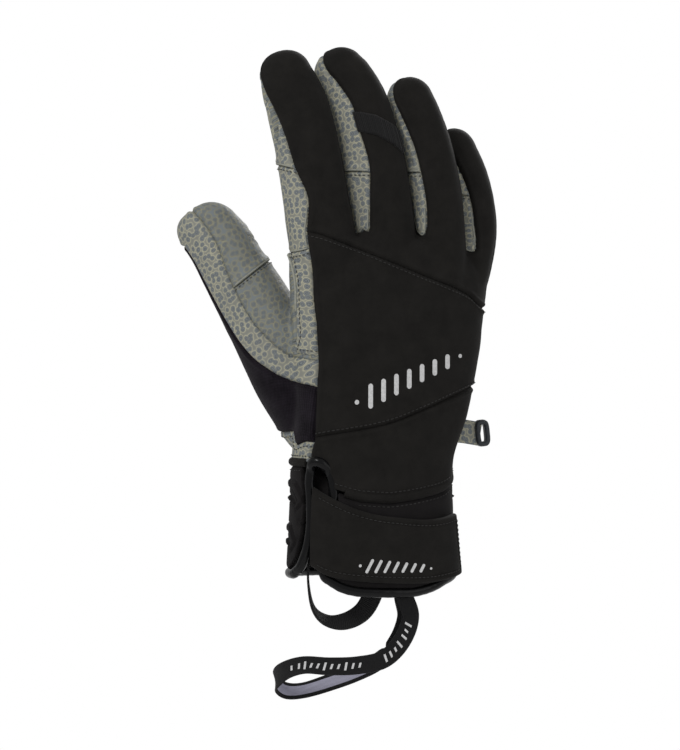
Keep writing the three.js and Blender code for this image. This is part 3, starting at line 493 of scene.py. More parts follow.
def polygon_distance(points2, polygon):
    """Signed distance to a closed outline, positive inside."""
    poly = np.array(polygon, float)
    nxt = np.roll(poly, -1, 0)
    best = np.full(len(points2), 1e9)
    inside = np.zeros(len(points2), bool)
    for p, q in zip(poly, nxt):
        d = q - p
        t = np.clip(((points2 - p) @ d) / (d @ d), 0, 1)
        gap = np.linalg.norm(points2 - (p + t[:, None] * d), axis=1)
        best = np.minimum(best, gap)
        crosses = (p[1] > points2[:, 1]) != (q[1] > points2[:, 1])
        where = p[0] + (points2[:, 1] - p[1]) * d[0] / (d[1] if abs(d[1]) > 1e-9 else 1e-9)
        inside ^= crosses & (points2[:, 0] < where)
    return np.where(inside, best, -best)


def rounded(line, steps=5):
    """The same open line with its corners eased."""
    return [tuple(p) for p in spline(line, steps)]


THUMB_PALM_ZONE = rounded(THUMB_BASE_PALM) + [(-160, 60), (-160, 260), (-60, 260)]
THUMB_BACK_ZONE = rounded(THUMB_BASE_BACK, 3) + [(-160, 60), (-160, 260), (-46, 260)]


def thumb_field(points):
    """Positive outside the thumb base seam."""
    s = palm_s(points)
    v = -(points[:, 0] - MID_X) * SIN_T + points[:, 1] * COS_T
    palm = polygon_distance(np.stack([s, points[:, 2]], 1), THUMB_PALM_ZONE)
    back = polygon_distance(points[:, [0, 2]], THUMB_BACK_ZONE)
    mix = smoothstep(v, 2, 9)
    return palm * mix + back * (1 - mix)


def away_from_nail(angle):
    """Degrees between an angle and the nail side."""
    return np.abs((angle - NAIL_SIDE + 180) % 360 - 180)


def knit_field(points):
    """Positive on the knit at the thumb's nail side."""
    at = tube_at(TUBES["thumb"], points)
    half = TUBES["thumb"]["knit"][at["i"]]
    by_angle = np.radians(half - away_from_nail(at["angle"])) * at["r"]
    tip = at["s"] - TUBES["thumb"]["s"][-1] - 3
    by_angle = np.minimum(by_angle, -tip)
    low_back = table(KNIT_LOW_BACK, points[:, 0]) - points[:, 2]
    low_palm = table(KNIT_LOW_PALM, points[:, 0]) - points[:, 2]
    mix = smoothstep(at["v"], -6, 8)
    by_low = (low_palm * mix + low_back * (1 - mix)) * 0.8
    k = 3.0          # rounding of the corner between the two edges
    high = np.maximum(by_angle, by_low)
    return high + np.log(np.exp((by_angle - high) / k) + np.exp((by_low - high) / k)) * k - 0.4


def pad_field(points):
    """Positive on the thumb's pad."""
    at = tube_at(TUBES["thumb"], points)
    back = TUBES["thumb"]["pad_back"][at["i"]]
    front = TUBES["thumb"]["pad_front"][at["i"]]
    angle = (at["angle"] + 90) % 360 - 90
    return np.radians(np.minimum(angle - back, front - angle)) * at["r"]


def slit_field(points):
    """Positive inside the slit in the back."""
    z = points[:, 2]
    left, right = table(SLIT, z, 1) - BIND_R * 0.6, table(SLIT, z, 2) + BIND_R * 0.6
    side = np.minimum(points[:, 0] - left, right - points[:, 0])
    return np.where(points[:, 1] < 0, np.minimum(side, 58 - z), -20)


def cuff_angle(points):
    """Angle round the cuff in degrees, from the back towards the little finger."""
    x, y = points[:, 0] - CUFF_X, points[:, 1]
    u, v = x * COS_T + y * SIN_T, -x * SIN_T + y * COS_T
    a, b = table(CUFF, points[:, 2], 1), table(CUFF, points[:, 2], 2)
    e = CUFF_POWER / 2
    return np.degrees(np.arctan2(power(u / a, e), -power(v / b, e)))


def wrapped(deg):
    """Angles as the tables of the hem and the upper edge have them."""
    return (np.asarray(deg, float) + 180) % 360 - 180


def cuff_top(deg):
    """Height of the cuff's upper edge at each angle."""
    return table(CUFF_TOP, wrapped(deg))


def hem(deg):
    """Height of the hem at each angle."""
    return table(HEM, wrapped(deg))


# Cutting a triangle mesh along a field's zero line

def crossed_edges(a, b, c, count):
    """The distinct edges a-b and a-c: their ends, and which one each triangle's two edges are."""
    first = np.concatenate([np.minimum(a, b), np.minimum(a, c)]).astype(np.int64)
    second = np.concatenate([np.maximum(a, b), np.maximum(a, c)])
    keys, index = np.unique(first * count + second, return_inverse=True)
    return keys // count, keys % count, index.ravel()


def cut(data, tris, s):
    """Two meshes, the positive and the negative side, and the rows on the line between them."""
    s = np.where(np.abs(s) < 0.01, 0.01, s)
    neg = s < 0
    flags = neg[tris]
    count = flags.sum(1)
    whole_pos, whole_neg = tris[count == 0], tris[count == 3]
    mixed = tris[(count == 1) | (count == 2)]
    flags = neg[mixed]
    lone_neg = flags.sum(1) == 1
    lone = np.where(lone_neg, flags.argmax(1), (~flags).argmax(1))
    r = np.arange(len(mixed))
    a, b, c = mixed[r, lone], mixed[r, (lone + 1) % 3], mixed[r, (lone + 2) % 3]
    p, q, index = crossed_edges(a, b, c, len(data))
    t = np.clip(s[p] / (s[p] - s[q]), 0.06, 0.94)
    new = data[p] + t[:, None] * (data[q] - data[p])
    ab, ac = index[:len(mixed)] + len(data), index[len(mixed):] + len(data)
    tip = np.stack([a, ab, ac], 1)
    rest = np.vstack([np.stack([ab, b, c], 1), np.stack([ab, c, ac], 1)])
    both = np.concatenate([lone_neg, lone_neg])
    pos = np.vstack([whole_pos, tip[~lone_neg], rest[both]])
    negs = np.vstack([whole_neg, tip[lone_neg], rest[~both]])
    everything = np.vstack([data, new])
    return compact(everything, pos), compact(everything, negs), new


def compact(data, tris):
    """The mesh without its unused rows."""
    used, inverse = np.unique(tris, return_inverse=True)
    return data[used], inverse.reshape(tris.shape)


def largest(data, tris, least=0.02):
    """Drops crumbs left by the cuts."""
    label = np.arange(len(data))
    for _ in range(400):
        low = label[tris].min(1)
        new = label.copy()
        for k in range(3):
            np.minimum.at(new, tris[:, k], low)
        new = new[new]
        if (new == label).all():
            break
        label = new
    groups, counts = np.unique(label[tris[:, 0]], return_counts=True)
    keep = groups[counts >= least * len(tris)]
    return compact(data, tris[np.isin(label[tris[:, 0]], keep)])


# Noise for soft undulations
HASH_STEPS = (374761393, 668265263, 2147483647)


def value_noise(points, size, seed):
    """Smooth values from -1 to 1 with features of the given size."""
    p = points / size + seed * 17.31
    cell = np.floor(p).astype(np.int64)
    f = p - cell
    f = f * f * (3 - 2 * f)
    total = np.zeros(len(points))
    for corner in product((0, 1), repeat=3):
        at = cell + np.array(corner)
        h = at @ np.array(HASH_STEPS) + seed * 144665
        h = (h ^ (h >> 13)) * 1274126177
        value = ((h ^ (h >> 16)) & 0xFFFF) / 32767.5 - 1
        wx, wy, wz = np.where(corner, f, 1 - f).T
        total += value * wx * wy * wz
    return total


# Materials
STRIPE = 0.3142          # scale of a wave texture with one stripe to a unit


def node_of(tree, kind, inputs=(), **values):
    """A node with its properties and unlinked inputs set."""
    node = tree.nodes.new(kind)
    for key, value in values.items():
        setattr(node, key, value)
    for key, value in dict(inputs).items():
        node.inputs[key].default_value = value
    return node


def link(tree, a, out, b, into):
    tree.links.new(a.outputs[out], b.inputs[into])


def new_material(name, rough, specular, sheen=0.0):
    """A material with its tree and its shader."""
    mat = bpy.data.materials.new(name)
    mat.use_nodes = True
    shader = mat.node_tree.nodes["Principled BSDF"]
    fixed = {
        "Roughness": rough, "Specular IOR Level": specular, "Sheen Weight": sheen, "Sheen Roughness": 0.5,
    }
    for key, value in fixed.items():
        shader.inputs[key].default_value = value
    return mat, mat.node_tree, shader


def mapped(tree, scale, turn=0):
    """The surface coordinate in millimetres, times a scale."""
    uv = node_of(tree, "ShaderNodeUVMap", uv_map="cloth")
    size = node_of(tree, "ShaderNodeMapping", {"Scale": (scale, scale, 1), "Rotation": (0, 0, turn)})
    link(tree, uv, "UV", size, "Vector")
    return size


def ramp(tree, source, stops):
    """Colours by the cell pattern's distance."""
    node = node_of(tree, "ShaderNodeValToRGB")
    elements = node.color_ramp.elements
    while len(elements) < len(stops):
        elements.new(0.5)
    for element, (place, colour) in zip(elements, stops):
        element.position = place
        element.color = (*colour, 1)
    link(tree, source, "Distance", node, "Fac")
    return node


def bump(tree, source, out, strength, distance, target):
    """Relief from a texture, into the normal of the shader or of the next bump."""
    node = node_of(tree, "ShaderNodeBump", {"Strength": strength, "Distance": distance})
    link(tree, source, out, node, "Height")
    link(tree, node, "Normal", target, "Normal")
    return node


def object_noise(tree, scale, detail, rough):
    """Noise in object space."""
    place = node_of(tree, "ShaderNodeTexCoord")
    noise = node_of(tree, "ShaderNodeTexNoise", {"Scale": scale, "Detail": detail, "Roughness": rough})
    link(tree, place, "Object", noise, "Vector")
    return noise


def bands(tree, place, direction, **inputs):
    """Stripes across the X or Y direction."""
    wave = node_of(tree, "ShaderNodeTexWave", inputs, wave_type="BANDS", bands_direction=direction)
    link(tree, place, "Vector", wave, "Vector")
    return wave


def two_tones(tree, shader, mask, out, first, second):
    """Base colour between two tones."""
    mix = node_of(tree, "ShaderNodeMix", {6: (*first, 1), 7: (*second, 1)}, data_type="RGBA")
    link(tree, mask, out, mix, 0)
    link(tree, mix, 2, shader, "Base Color")


def weighted_sum(tree, first, out, weight, second):
    """The first value times a weight, plus the second."""
    node = node_of(tree, "ShaderNodeMath", {1: weight}, operation="MULTIPLY_ADD")
    link(tree, first, out, node, 0)
    link(tree, second, "Fac", node, 2)
    return node


def cloth_material(name, dark, light, pitch, rough=0.85, specular=0.10, sheen=0.02, turn=0, depth=0.00012):
    """Woven or knitted cloth: fine threads both ways and soft patches of tone."""
    mat, tree, shader = new_material(name, rough, specular, sheen)
    across = mapped(tree, 1 / pitch, turn)
    weave = node_of(tree, "ShaderNodeMath", operation="MULTIPLY")
    for into, direction in enumerate("XY"):
        threads = bands(tree, across, direction, Scale=STRIPE, Distortion=0.6, Detail=1.0)
        link(tree, threads, "Fac", weave, into)
    tone = weighted_sum(tree, weave, "Value", 0.55, object_noise(tree, 90, 5, 0.7))
    low = node_of(tree, "ShaderNodeMapRange", {"From Min": 0.35, "From Max": 1.1})
    link(tree, tone, "Value", low, "Value")
    two_tones(tree, shader, low, "Result", dark, light)
    bump(tree, weave, "Value", 0.5, depth, shader)
    return mat


def leather_material():
    """Grey leather printed with ringed dots, some of them linked, inside khaki outlines. The attribute
    palmward fades from the bold print of the sides to the soft print of the palm."""
    mat, tree, shader = new_material("printed_leather", 0.6, 0.22)
    place = mapped(tree, 1)
    drift = node_of(tree, "ShaderNodeTexNoise", {"Scale": 0.3, "Detail": 1.0}, noise_dimensions="2D")
    link(tree, place, "Vector", drift, "Vector")
    shift = node_of(tree, "ShaderNodeVectorMath", {1: (1.1, 1.1, 0)}, operation="MULTIPLY_ADD")
    link(tree, drift, "Color", shift, 0)
    link(tree, place, "Vector", shift, 2)
    cells = node_of(tree, "ShaderNodeTexVoronoi", {"Scale": 1 / 3.2, "Smoothness": 0.16, "Randomness": 0.62},
                    voronoi_dimensions="2D", feature="SMOOTH_F1")
    link(tree, shift, "Vector", cells, "Vector")
    dot, ring, pale = (0.168, 0.190, 0.202), (0.092, 0.104, 0.110), (0.225, 0.238, 0.240)
    khaki = (0.385, 0.372, 0.275)
    bold = ramp(tree, cells, [
        (0.00, pale), (0.10, dot), (0.14, ring), (0.19, ring), (0.24, pale), (0.31, dot), (0.36, ring),
        (0.41, khaki), (0.49, khaki), (0.56, (0.265, 0.262, 0.215)), (0.70, (0.215, 0.218, 0.190)),
    ])
    blue, dark, line = (0.162, 0.190, 0.206), (0.094, 0.100, 0.094), (0.262, 0.250, 0.168)
    ground = (0.160, 0.166, 0.148)
    soft = ramp(tree, cells, [
        (0.00, blue), (0.10, blue), (0.14, dark), (0.19, dark), (0.24, (0.205, 0.228, 0.238)), (0.32, ground),
        (0.37, dark), (0.41, line), (0.46, line), (0.51, ground), (0.62, blue),
    ])
    palmward = node_of(tree, "ShaderNodeAttribute", attribute_name="palmward")
    printed_tone = node_of(tree, "ShaderNodeMix", data_type="RGBA")
    link(tree, palmward, "Fac", printed_tone, 0)
    link(tree, bold, "Color", printed_tone, 6)
    link(tree, soft, "Color", printed_tone, 7)
    worn = node_of(tree, "ShaderNodeMapRange", {"From Min": 0.35, "From Max": 0.75, "To Max": 0.35})
    link(tree, object_noise(tree, 60, 4, 0.6), "Fac", worn, "Value")
    faded = node_of(tree, "ShaderNodeMix", {7: (0.160, 0.166, 0.158, 1)}, data_type="RGBA")
    link(tree, worn, "Result", faded, 0)
    link(tree, printed_tone, 2, faded, 6)
    link(tree, faded, 2, shader, "Base Color")
    relief = [(0.0, 0.85), (0.14, 0.8), (0.18, 0.45), (0.22, 1), (0.33, 0.9), (0.40, 0.1), (0.60, 0)]
    height = ramp(tree, cells, [(at, (level,) * 3) for at, level in relief])
    pressed = bump(tree, height, "Color", 0.6, 0.00022, shader)
    bump(tree, object_noise(tree, 1500, 3, 0.7), "Fac", 0.4, 0.00010, pressed)
    return mat


def gloss_material(name, colour, rough, specular, crease, scale):
    """Coated binding, moulded plastic or print with small creases."""
    mat, tree, shader = new_material(name, rough, specular)
    noise = object_noise(tree, scale, 4, 0.6)
    two_tones(tree, shader, noise, "Fac", colour, tuple(min(1, c * 2.2) for c in colour))
    uneven = node_of(tree, "ShaderNodeMapRange", {"To Min": rough * 0.8, "To Max": rough * 1.35})
    link(tree, noise, "Fac", uneven, "Value")
    link(tree, uneven, "Result", shader, "Roughness")
    bump(tree, noise, "Fac", 0.45, crease, shader)
    return mat


def webbing_material(name, colour, rib=0.9):
    """Ribbed webbing: ridges across its length, with painted shade in their grooves and a painted highlight
    on their crests.
    """
    mat, tree, shader = new_material(name, 0.7, 0.2, 0.05)
    place = mapped(tree, 1 / rib)
    ribs = bands(tree, place, "X", Scale=STRIPE)
    height = weighted_sum(tree, bands(tree, place, "Y", Scale=0.62, Distortion=1.0), "Fac", 0.35, ribs)
    # Painted shade and highlight: the colour is halved in the rib grooves and raised 1.7 times on the rib
    # crests, in step with the bump.
    dark, light = tuple(c * 0.5 for c in colour), tuple(min(1, c * 1.7) for c in colour)
    two_tones(tree, shader, ribs, "Fac", dark, light)
    bump(tree, height, "Value", 0.8, 0.0003, shader)
    return mat


MATERIALS = {
    "leather": leather_material(),
    "softshell": cloth_material("softshell", (0.0068, 0.0063, 0.0057), (0.0170, 0.0157, 0.0142), 0.42),
    "cuff_cloth": cloth_material("cuff_cloth", (0.0056, 0.0050, 0.0052), (0.0135, 0.0120, 0.0124), 0.5),
    "knit": cloth_material("knit", (0.0034, 0.0026, 0.0038), (0.0210, 0.0170, 0.0230), 0.75, 0.95, 0.05, 0.05,
                           math.radians(32), 0.0003),
}
for look, *values in (
    ("binding", (0.0022, 0.0022, 0.0024), 0.2, 0.16, 0.00016, 170),
    ("plastic", (0.014, 0.016, 0.019), 0.36, 0.3, 0.00005, 700),
    ("leather_edge", (0.165, 0.168, 0.145), 0.7, 0.15, 0.0001, 600),
    ("white_print", (0.34, 0.34, 0.34), 0.5, 0.3, 0.00003, 900),
):
    MATERIALS[look] = gloss_material(look, *values)
for look, *values in (
    ("webbing", (0.0070, 0.0069, 0.0072)), ("tape_out", (0.0055, 0.0055, 0.0060), 0.55),
    ("tape_in", (0.36, 0.355, 0.44), 0.55), ("thread_black", (0.0280, 0.0272, 0.0264), 0.3),
    ("thread_grey", (0.060, 0.062, 0.060), 0.3),
):
    MATERIALS[look] = webbing_material(look, *values)


def make_object(name, slot_name, points, faces, looks, uv, face_looks=None, palmward=None):
    """A piece in metres, with its surface coordinate, riding on the glove. It stands for the node that it is
    named after and hides that node's imported part. A stitch, fold or mark has its own name, so the node name
    that it is given hides nothing."""
    mesh = bpy.data.meshes.new(name)
    points = np.asarray(points, float) * MM
    if isinstance(faces, np.ndarray):
        n, k = faces.shape
        mesh.vertices.add(len(points))
        mesh.vertices.foreach_set("co", points.astype(np.float32).ravel())
        mesh.loops.add(n * k)
        mesh.loops.foreach_set("vertex_index", faces.astype(np.int32).ravel())
        mesh.polygons.add(n)
        mesh.polygons.foreach_set("loop_start", (np.arange(n) * k).astype(np.int32))
        mesh.update(calc_edges=True)
    else:
        mesh.from_pydata(points.tolist(), [], [tuple(int(i) for i in f) for f in faces])
    layer = mesh.uv_layers.new(name="cloth")
    index = np.empty(len(mesh.loops), np.int32)
    mesh.loops.foreach_get("vertex_index", index)
    layer.data.foreach_set("uv", np.asarray(uv, np.float32)[index].ravel())
    if palmward is not None:
        side = mesh.attributes.new("palmward", "FLOAT", "POINT")
        side.data.foreach_set("value", np.asarray(palmward, np.float32))
    mesh.polygons.foreach_set("use_smooth", np.full(len(mesh.polygons), True))
    for look in looks:
        mesh.materials.append(MATERIALS[look])
    if face_looks is not None:
        mesh.polygons.foreach_set("material_index", np.asarray(face_looks, np.int32))
    mesh.update()
    obj = bpy.data.objects.new(name, mesh)
    bpy.context.scene.collection.objects.link(obj)
    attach(obj, "root")
    if name == slot_name:
        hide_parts(name)
    return obj


def piece(name, look, shape):
    """The scene's version of one solid, from its points, faces and surface coordinates."""
    points, faces, uv = shape
    return make_object(name, name, points, faces, [look], uv)


# The skin, cut into its panels

SEAMS = []


def split(panel, field, seam=True):
    """Cuts a panel by a field; the line is remembered as a seam."""
    data, tris = panel
    inside, outside, line = cut(data, tris, field(data[:, :3]))
    if seam:
        SEAMS.append(line[:, :3])
    return inside, outside, line[:, :3]


def height_over(line, along):
    """Field that is the height over a line given along a coordinate."""
    return lambda p: p[:, 2] - table(line, along(p))


def above_cuff(points):
    """Height over the seam at the cuff's upper edge."""
    return points[:, 2] - cuff_top(cuff_angle(points)) - 0.6


def cross_field(name):
    """Height over a finger's cross seam."""
    finger = FINGERS[name]
    middle = finger["rows"][4][0]
    return lambda p: p[:, 2] - finger["cross"] + (p[:, 0] - middle) * finger["lean"]


def pad_cross(p):
    """Height over the seam across the thumb's pad."""
    (xa, za), (xb, zb) = THUMB_CROSS
    return p[:, 2] - za - (p[:, 0] - xa) * (zb - za) / (xb - xa)


upper_field = height_over(rounded(UPPER_SEAM), lambda p: p[:, 0])
lower_field = height_over(rounded(LOWER_SEAM), lambda p: p[:, 0])
palm_field = height_over(rounded(PALM_SEAM), palm_s)

form, form_tris = make_skin()
whole, _, _ = split((np.hstack([form, normals_of(form, form_tris)]), form_tris), above_cuff, seam=False)
back, rest, _ = split(whole, back_field)
_, back, _ = split(back, slit_field, seam=False)
knuckle, lower_back, _ = split(back, upper_field)
middle_back, wrist_back, _ = split(lower_back, lower_field)
thumb, hand, _ = split(rest, thumb_field)
_, hand, _ = split(hand, slit_field, seam=False)
knit, thumb, _ = split(thumb, knit_field)
pad, strip, _ = split(thumb, pad_field)
pad_tip, pad_base, cross_line = split(pad, pad_cross)
left_over, palm, palm_line = split(hand, palm_field)

PANELS = {
    "back_knuckle_panel": (knuckle, "softshell"), "back_middle_panel": (middle_back, "softshell"),
    "back_wrist_panel": (wrist_back, "softshell"), "palm_panel": (palm, "leather"),
    "thumb_knit_panel": (knit, "knit"), "thumb_pad_tip": (pad_tip, "leather"),
    "thumb_pad_base": (pad_base, "leather"), "thumb_side_strip": (strip, "leather"),
}
# Lines whose upper side is folded over, by the panel that it raises
RAISED = {"thumb_pad_tip": cross_line, "palm_panel": palm_line}
for k, name in enumerate(ORDER):
    own = left_over
    if name != ORDER[-1]:
        def nearer(p, one=name, two=ORDER[k + 1]):
            return tube_at(TUBES[two], p)["out"] - tube_at(TUBES[one], p)["out"]
        own, left_over, _ = split(left_over, nearer)
    tip, base, RAISED[f"{name}_front_tip"] = split(own, cross_field(name))
    PANELS[f"{name}_front_tip"] = (tip, "leather")
    PANELS[f"{name}_front_base"] = (base, "leather")


def kd_of(points):
    tree = KDTree(len(points))
    for i, p in enumerate(points):
        tree.insert(p, i)
    tree.balance()
    return tree


def distance_to(tree, points):
    return np.array([tree.find(p)[2] for p in points])


SEAM_TREE = kd_of(np.vstack(SEAMS))


def panel_uv(name, points):
    """Surface coordinates in millimetres: round the finger, thumb or hand, and along it."""
    finger = next((f for f in ORDER if name.startswith(f)), None)
    if finger:
        at = tube_at(TUBES[finger], points)
        angle = at["angle"] % 360
        return np.stack([np.radians(angle - 180) * at["r"] + 50 * ORDER.index(finger), at["s"]], 1)
    if name.startswith("thumb"):
        at = tube_at(TUBES["thumb"], points)
        angle = (at["angle"] + 90) % 360
        return np.stack([np.radians(angle) * at["r"] + 300, at["s"]], 1)
    if name.startswith("palm"):
        at = body_at(points)
        angle = np.radians(at["angle"] % 360 - 180)
        flat = np.sin(np.clip(angle, -1.2, 1.2)) * at["a"] + (angle - np.clip(angle, -1.2, 1.2)) * at["b"]
        return np.stack([flat + 500, points[:, 2]], 1)
    return points[:, [0, 2]]


def displaced(name, data):
    """Panel points with sewn grooves, raised edges and soft undulations."""
    points, normal = data[:, :3], data[:, 3:6]
    gap = distance_to(SEAM_TREE, points)
    rise = 0.55 if PANELS[name][1] == "softshell" else 0.3
    move = -np.exp(-(gap / 0.75) ** 2) + rise * np.exp(-((gap - 2.0) / 1.1) ** 2)
    soft = 1.2 if name.startswith("back") else 0.8
    away = smoothstep(gap, 0.5, 6)
    move += 0.28 * soft * value_noise(points, 16, 3) * away + 0.10 * value_noise(points, 6, 5) * away
    if name in RAISED:
        own = distance_to(kd_of(RAISED[name]), points)
        move += 0.75 * np.exp(-(own / 2.6) ** 2)
    if name.startswith("middle_front"):
        side = away_from_nail(tube_at(TUBES["middle"], points)["angle"])
        move += 1.5 * np.exp(-((points[:, 2] - 199) / 15) ** 2) * (1 - smoothstep(side, 15, 60))
    return points + normal * move[:, None]


def with_edge(points, tris, normal, uv, depth=WALL_EDGE):
    """Adds the turned-in edge round a panel's outline."""
    edges = np.vstack([tris[:, [0, 1]], tris[:, [1, 2]], tris[:, [2, 0]]])
    key = np.sort(edges, 1)
    code = key[:, 0].astype(np.int64) * len(points) + key[:, 1]
    _, first, counts = np.unique(code, return_index=True, return_counts=True)
    border = edges[first[counts == 1]]
    used, inverse = np.unique(border, return_inverse=True)
    inverse = inverse.reshape(border.shape)
    inner = points[used] - normal[used] * depth
    a, b = border[:, 0], border[:, 1]
    ia, ib = inverse[:, 0] + len(points), inverse[:, 1] + len(points)
    extra = np.vstack([np.stack([b, a, ia], 1), np.stack([b, ia, ib], 1)])
    return np.vstack([points, inner]), np.vstack([tris, extra]), np.vstack([uv, uv[used]])


FINAL = {}       # finished panels: points, triangles, normals and the points at rest, before the relief
for name, ((data, tris), look) in PANELS.items():
    data, tris = largest(data, tris)
    points = displaced(name, data)
    FINAL[name] = (points, tris, data[:, 3:6], data[:, :3])
    soft = np.maximum(smoothstep(data[:, 4], -0.25, 0.45), 0.85 if name.startswith("thumb_pad") else 0)
    uv = np.column_stack([panel_uv(name, data[:, :3]), soft])
    edged, edged_tris, edged_uv = with_edge(points, tris, data[:, 3:6], uv)
    make_object(name, name, edged, edged_tris, [look], edged_uv[:, :2], palmward=edged_uv[:, 2])


# Palm reinforcement, laid on the palm with a rounded edge

def make_patch():
    """Makes the patch; returns its points with normals, its triangles and the distance to its outline."""
    points, tris, normal, rest_points = FINAL["palm_panel"]
    outline = rounded(PATCH + PATCH[:1], 4)[:-1]
    shape = polygon_distance(np.stack([palm_s(rest_points), rest_points[:, 2]], 1), outline)
    shape = np.where(body_at(rest_points)["v"] > 0, shape, -5)
    part, _, line = cut(np.hstack([points, normal, rest_points]), tris, shape)
    data, tris = largest(*part)
    edge = distance_to(kd_of(line[:, 6:9]), data[:, 6:9])
    lift = 0.35 + 0.75 * np.sqrt(np.clip(edge / 1.3, 0, 1)) - 0.28 * np.exp(-((edge - 2.4) / 0.5) ** 2)
    points, normal = data[:, :3] + data[:, 3:6] * lift[:, None], data[:, 3:6]
    uv = panel_uv("palm", data[:, 6:9]) + np.array([37.0, 11.0])
    edged, edged_tris, edged_uv = with_edge(points, tris, normal, uv, 0.9)
    ones = np.ones(len(edged))
    make_object("palm_patch", "palm_patch", edged, edged_tris, ["leather"], edged_uv, palmward=ones)
    return np.hstack([points, normal]), tris, edge


PATCH_DATA, PATCH_TRIS, PATCH_EDGE = make_patch()


# Cuff surface

def cuff_point(deg, z, grow):
    """Points of the cuff's surface by angle and height, grown outwards."""
    deg, z = np.asarray(deg, float), np.asarray(z, float)
    a = table(CUFF, z, 1) + grow
    b = table(CUFF, z, 2) + grow
    t = np.radians(deg)
    u = a * power(np.sin(t), 2 / CUFF_POWER)
    v = -b * power(np.cos(t), 2 / CUFF_POWER)
    return np.stack([CUFF_X + u * COS_T - v * SIN_T, u * SIN_T + v * COS_T, z + 0 * t], -1)


def deg_for(x, z):
    """Angle at which the back of the cuff has a given x."""
    low, high = -100.0, 40.0
    for _ in range(30):
        mid = (low + high) / 2
        if cuff_point(mid, z, 0)[0] < x:
            low = mid
        else:
            high = mid
    return (low + high) / 2


CUFF_ARC_DEG = np.arange(-180, 361, 1.0)
CUFF_ARC = arc_length(cuff_point(CUFF_ARC_DEG, np.full(len(CUFF_ARC_DEG), 25.0), 0))


def arc_of(deg):
    """Length round the cuff at each angle."""
    return np.interp(deg, CUFF_ARC_DEG, CUFF_ARC)


def grid_faces(rows, cols):
    """The numbers of a grid's points and the four-sided faces between them."""
    index = np.arange(rows * cols).reshape(rows, cols)
    corners = index[:-1, :-1], index[:-1, 1:], index[1:, 1:], index[1:, :-1]
    return index, np.stack([corner.ravel() for corner in corners], 1)


def shell(front, behind, grid):
    """A closed plate from two grids of points and the surface coordinates of both."""
    index, quads = grid_faces(*front.shape[:2])
    n = index.size
    faces = [quads, quads[:, [0, 3, 2, 1]] + n]
    for line, turn in ((index[0], 1), (index[-1], -1), (index[:, 0], -1), (index[:, -1], 1)):
        p, q = line[:-1], line[1:]
        faces.append(np.stack([q, p, p + n, q + n], 1)[:, ::turn])
    grid = np.stack(np.broadcast_arrays(*grid), -1).reshape(-1, 2)
    return np.vstack([front.reshape(-1, 3), behind.reshape(-1, 3)]), np.vstack(faces), np.vstack([grid, grid])


def plate(deg, z, outer, inner):
    """A closed plate on the cuff from grids of angle and height, with its outer and inner growth."""
    return shell(cuff_point(deg, z, outer), cuff_point(deg, z, inner), (arc_of(deg), z))


def shape_distance(p, lines):
    """Distance to a set of line segments, less a width that tapers along each: positive inside."""
    best = np.full(len(p), -1e9)
    for (x0, y0, w0), (x1, y1, w1) in lines:
        a, d = np.array([x0, y0]), np.array([x1 - x0, y1 - y0])
        t = np.clip(((p - a) @ d) / (d @ d), 0, 1)
        gap = np.linalg.norm(p - (a + t[:, None] * d), axis=1)
        best = np.maximum(best, w0 + (w1 - w0) * t - gap)
    return best


# Raised zigzag ribs of the cuff: each a bent bar (arc in mm, height, half width)
BAR = [(-14, 6.5, 0.3), (-5, 3.6, 1.2), (3, 2.8, 1.7), (8.5, -4, 1.7), (4.5, -8.5, 0.4)]
SPIKE = [(-14, -2.5, 0.2), (-4, -3.6, 1.1), (2, -6, 0.3)]


def cuff_bars():
    """Segments of the ribs in two rows round the cuff."""
    bars = []
    for row, z in enumerate((42, 21)):
        for k in range(7):
            x = arc_of(78) + 12 + k * 27 - row * 5
            for shape in (BAR, SPIKE):
                points = [(x + bx, z + by * 0.95, w) for bx, by, w in shape]
                bars += list(zip(points[:-1], points[1:]))
    return bars


def make_cuff():
    """Padded cuff with raised ribs, open at the slit."""
    rows, cols = 84, 330

    def slit_side(col, gap):
        inset = gap * (BIND_R + GAP + 0.8)
        return np.array([[deg_for(table(SLIT, z, col) + inset, z)] for z in np.linspace(0, 50, rows)])

    right, left = slit_side(2, 1), slit_side(1, -1) + 360
    deg = right + (left - right) * np.linspace(0, 1, cols)[None, :]
    bottom, top = hem(deg) + BIND_R * 0.3, cuff_top(deg) - ROLL_R * 0.4
    z = bottom + (top - bottom) * np.linspace(0, 1, rows)[:, None]
    flat = np.stack([arc_of(deg), z], -1).reshape(-1, 2)
    inside = shape_distance(flat, cuff_bars()).reshape(deg.shape)
    outer = 0.95 * smoothstep(inside, -0.45, 0.4) - 0.45 * np.exp(-((inside + 0.8) / 0.6) ** 2)
    outer += 0.35 * value_noise(cuff_point(deg, z, 0).reshape(-1, 3), 14, 8).reshape(deg.shape)
    outer -= 1.7 * np.exp(-(np.minimum(z - bottom, top - z) / 2.0) ** 2)
    piece("cuff", "cuff_cloth", plate(deg, z, outer, np.full(deg.shape, -CUFF_WALL)))


make_cuff()


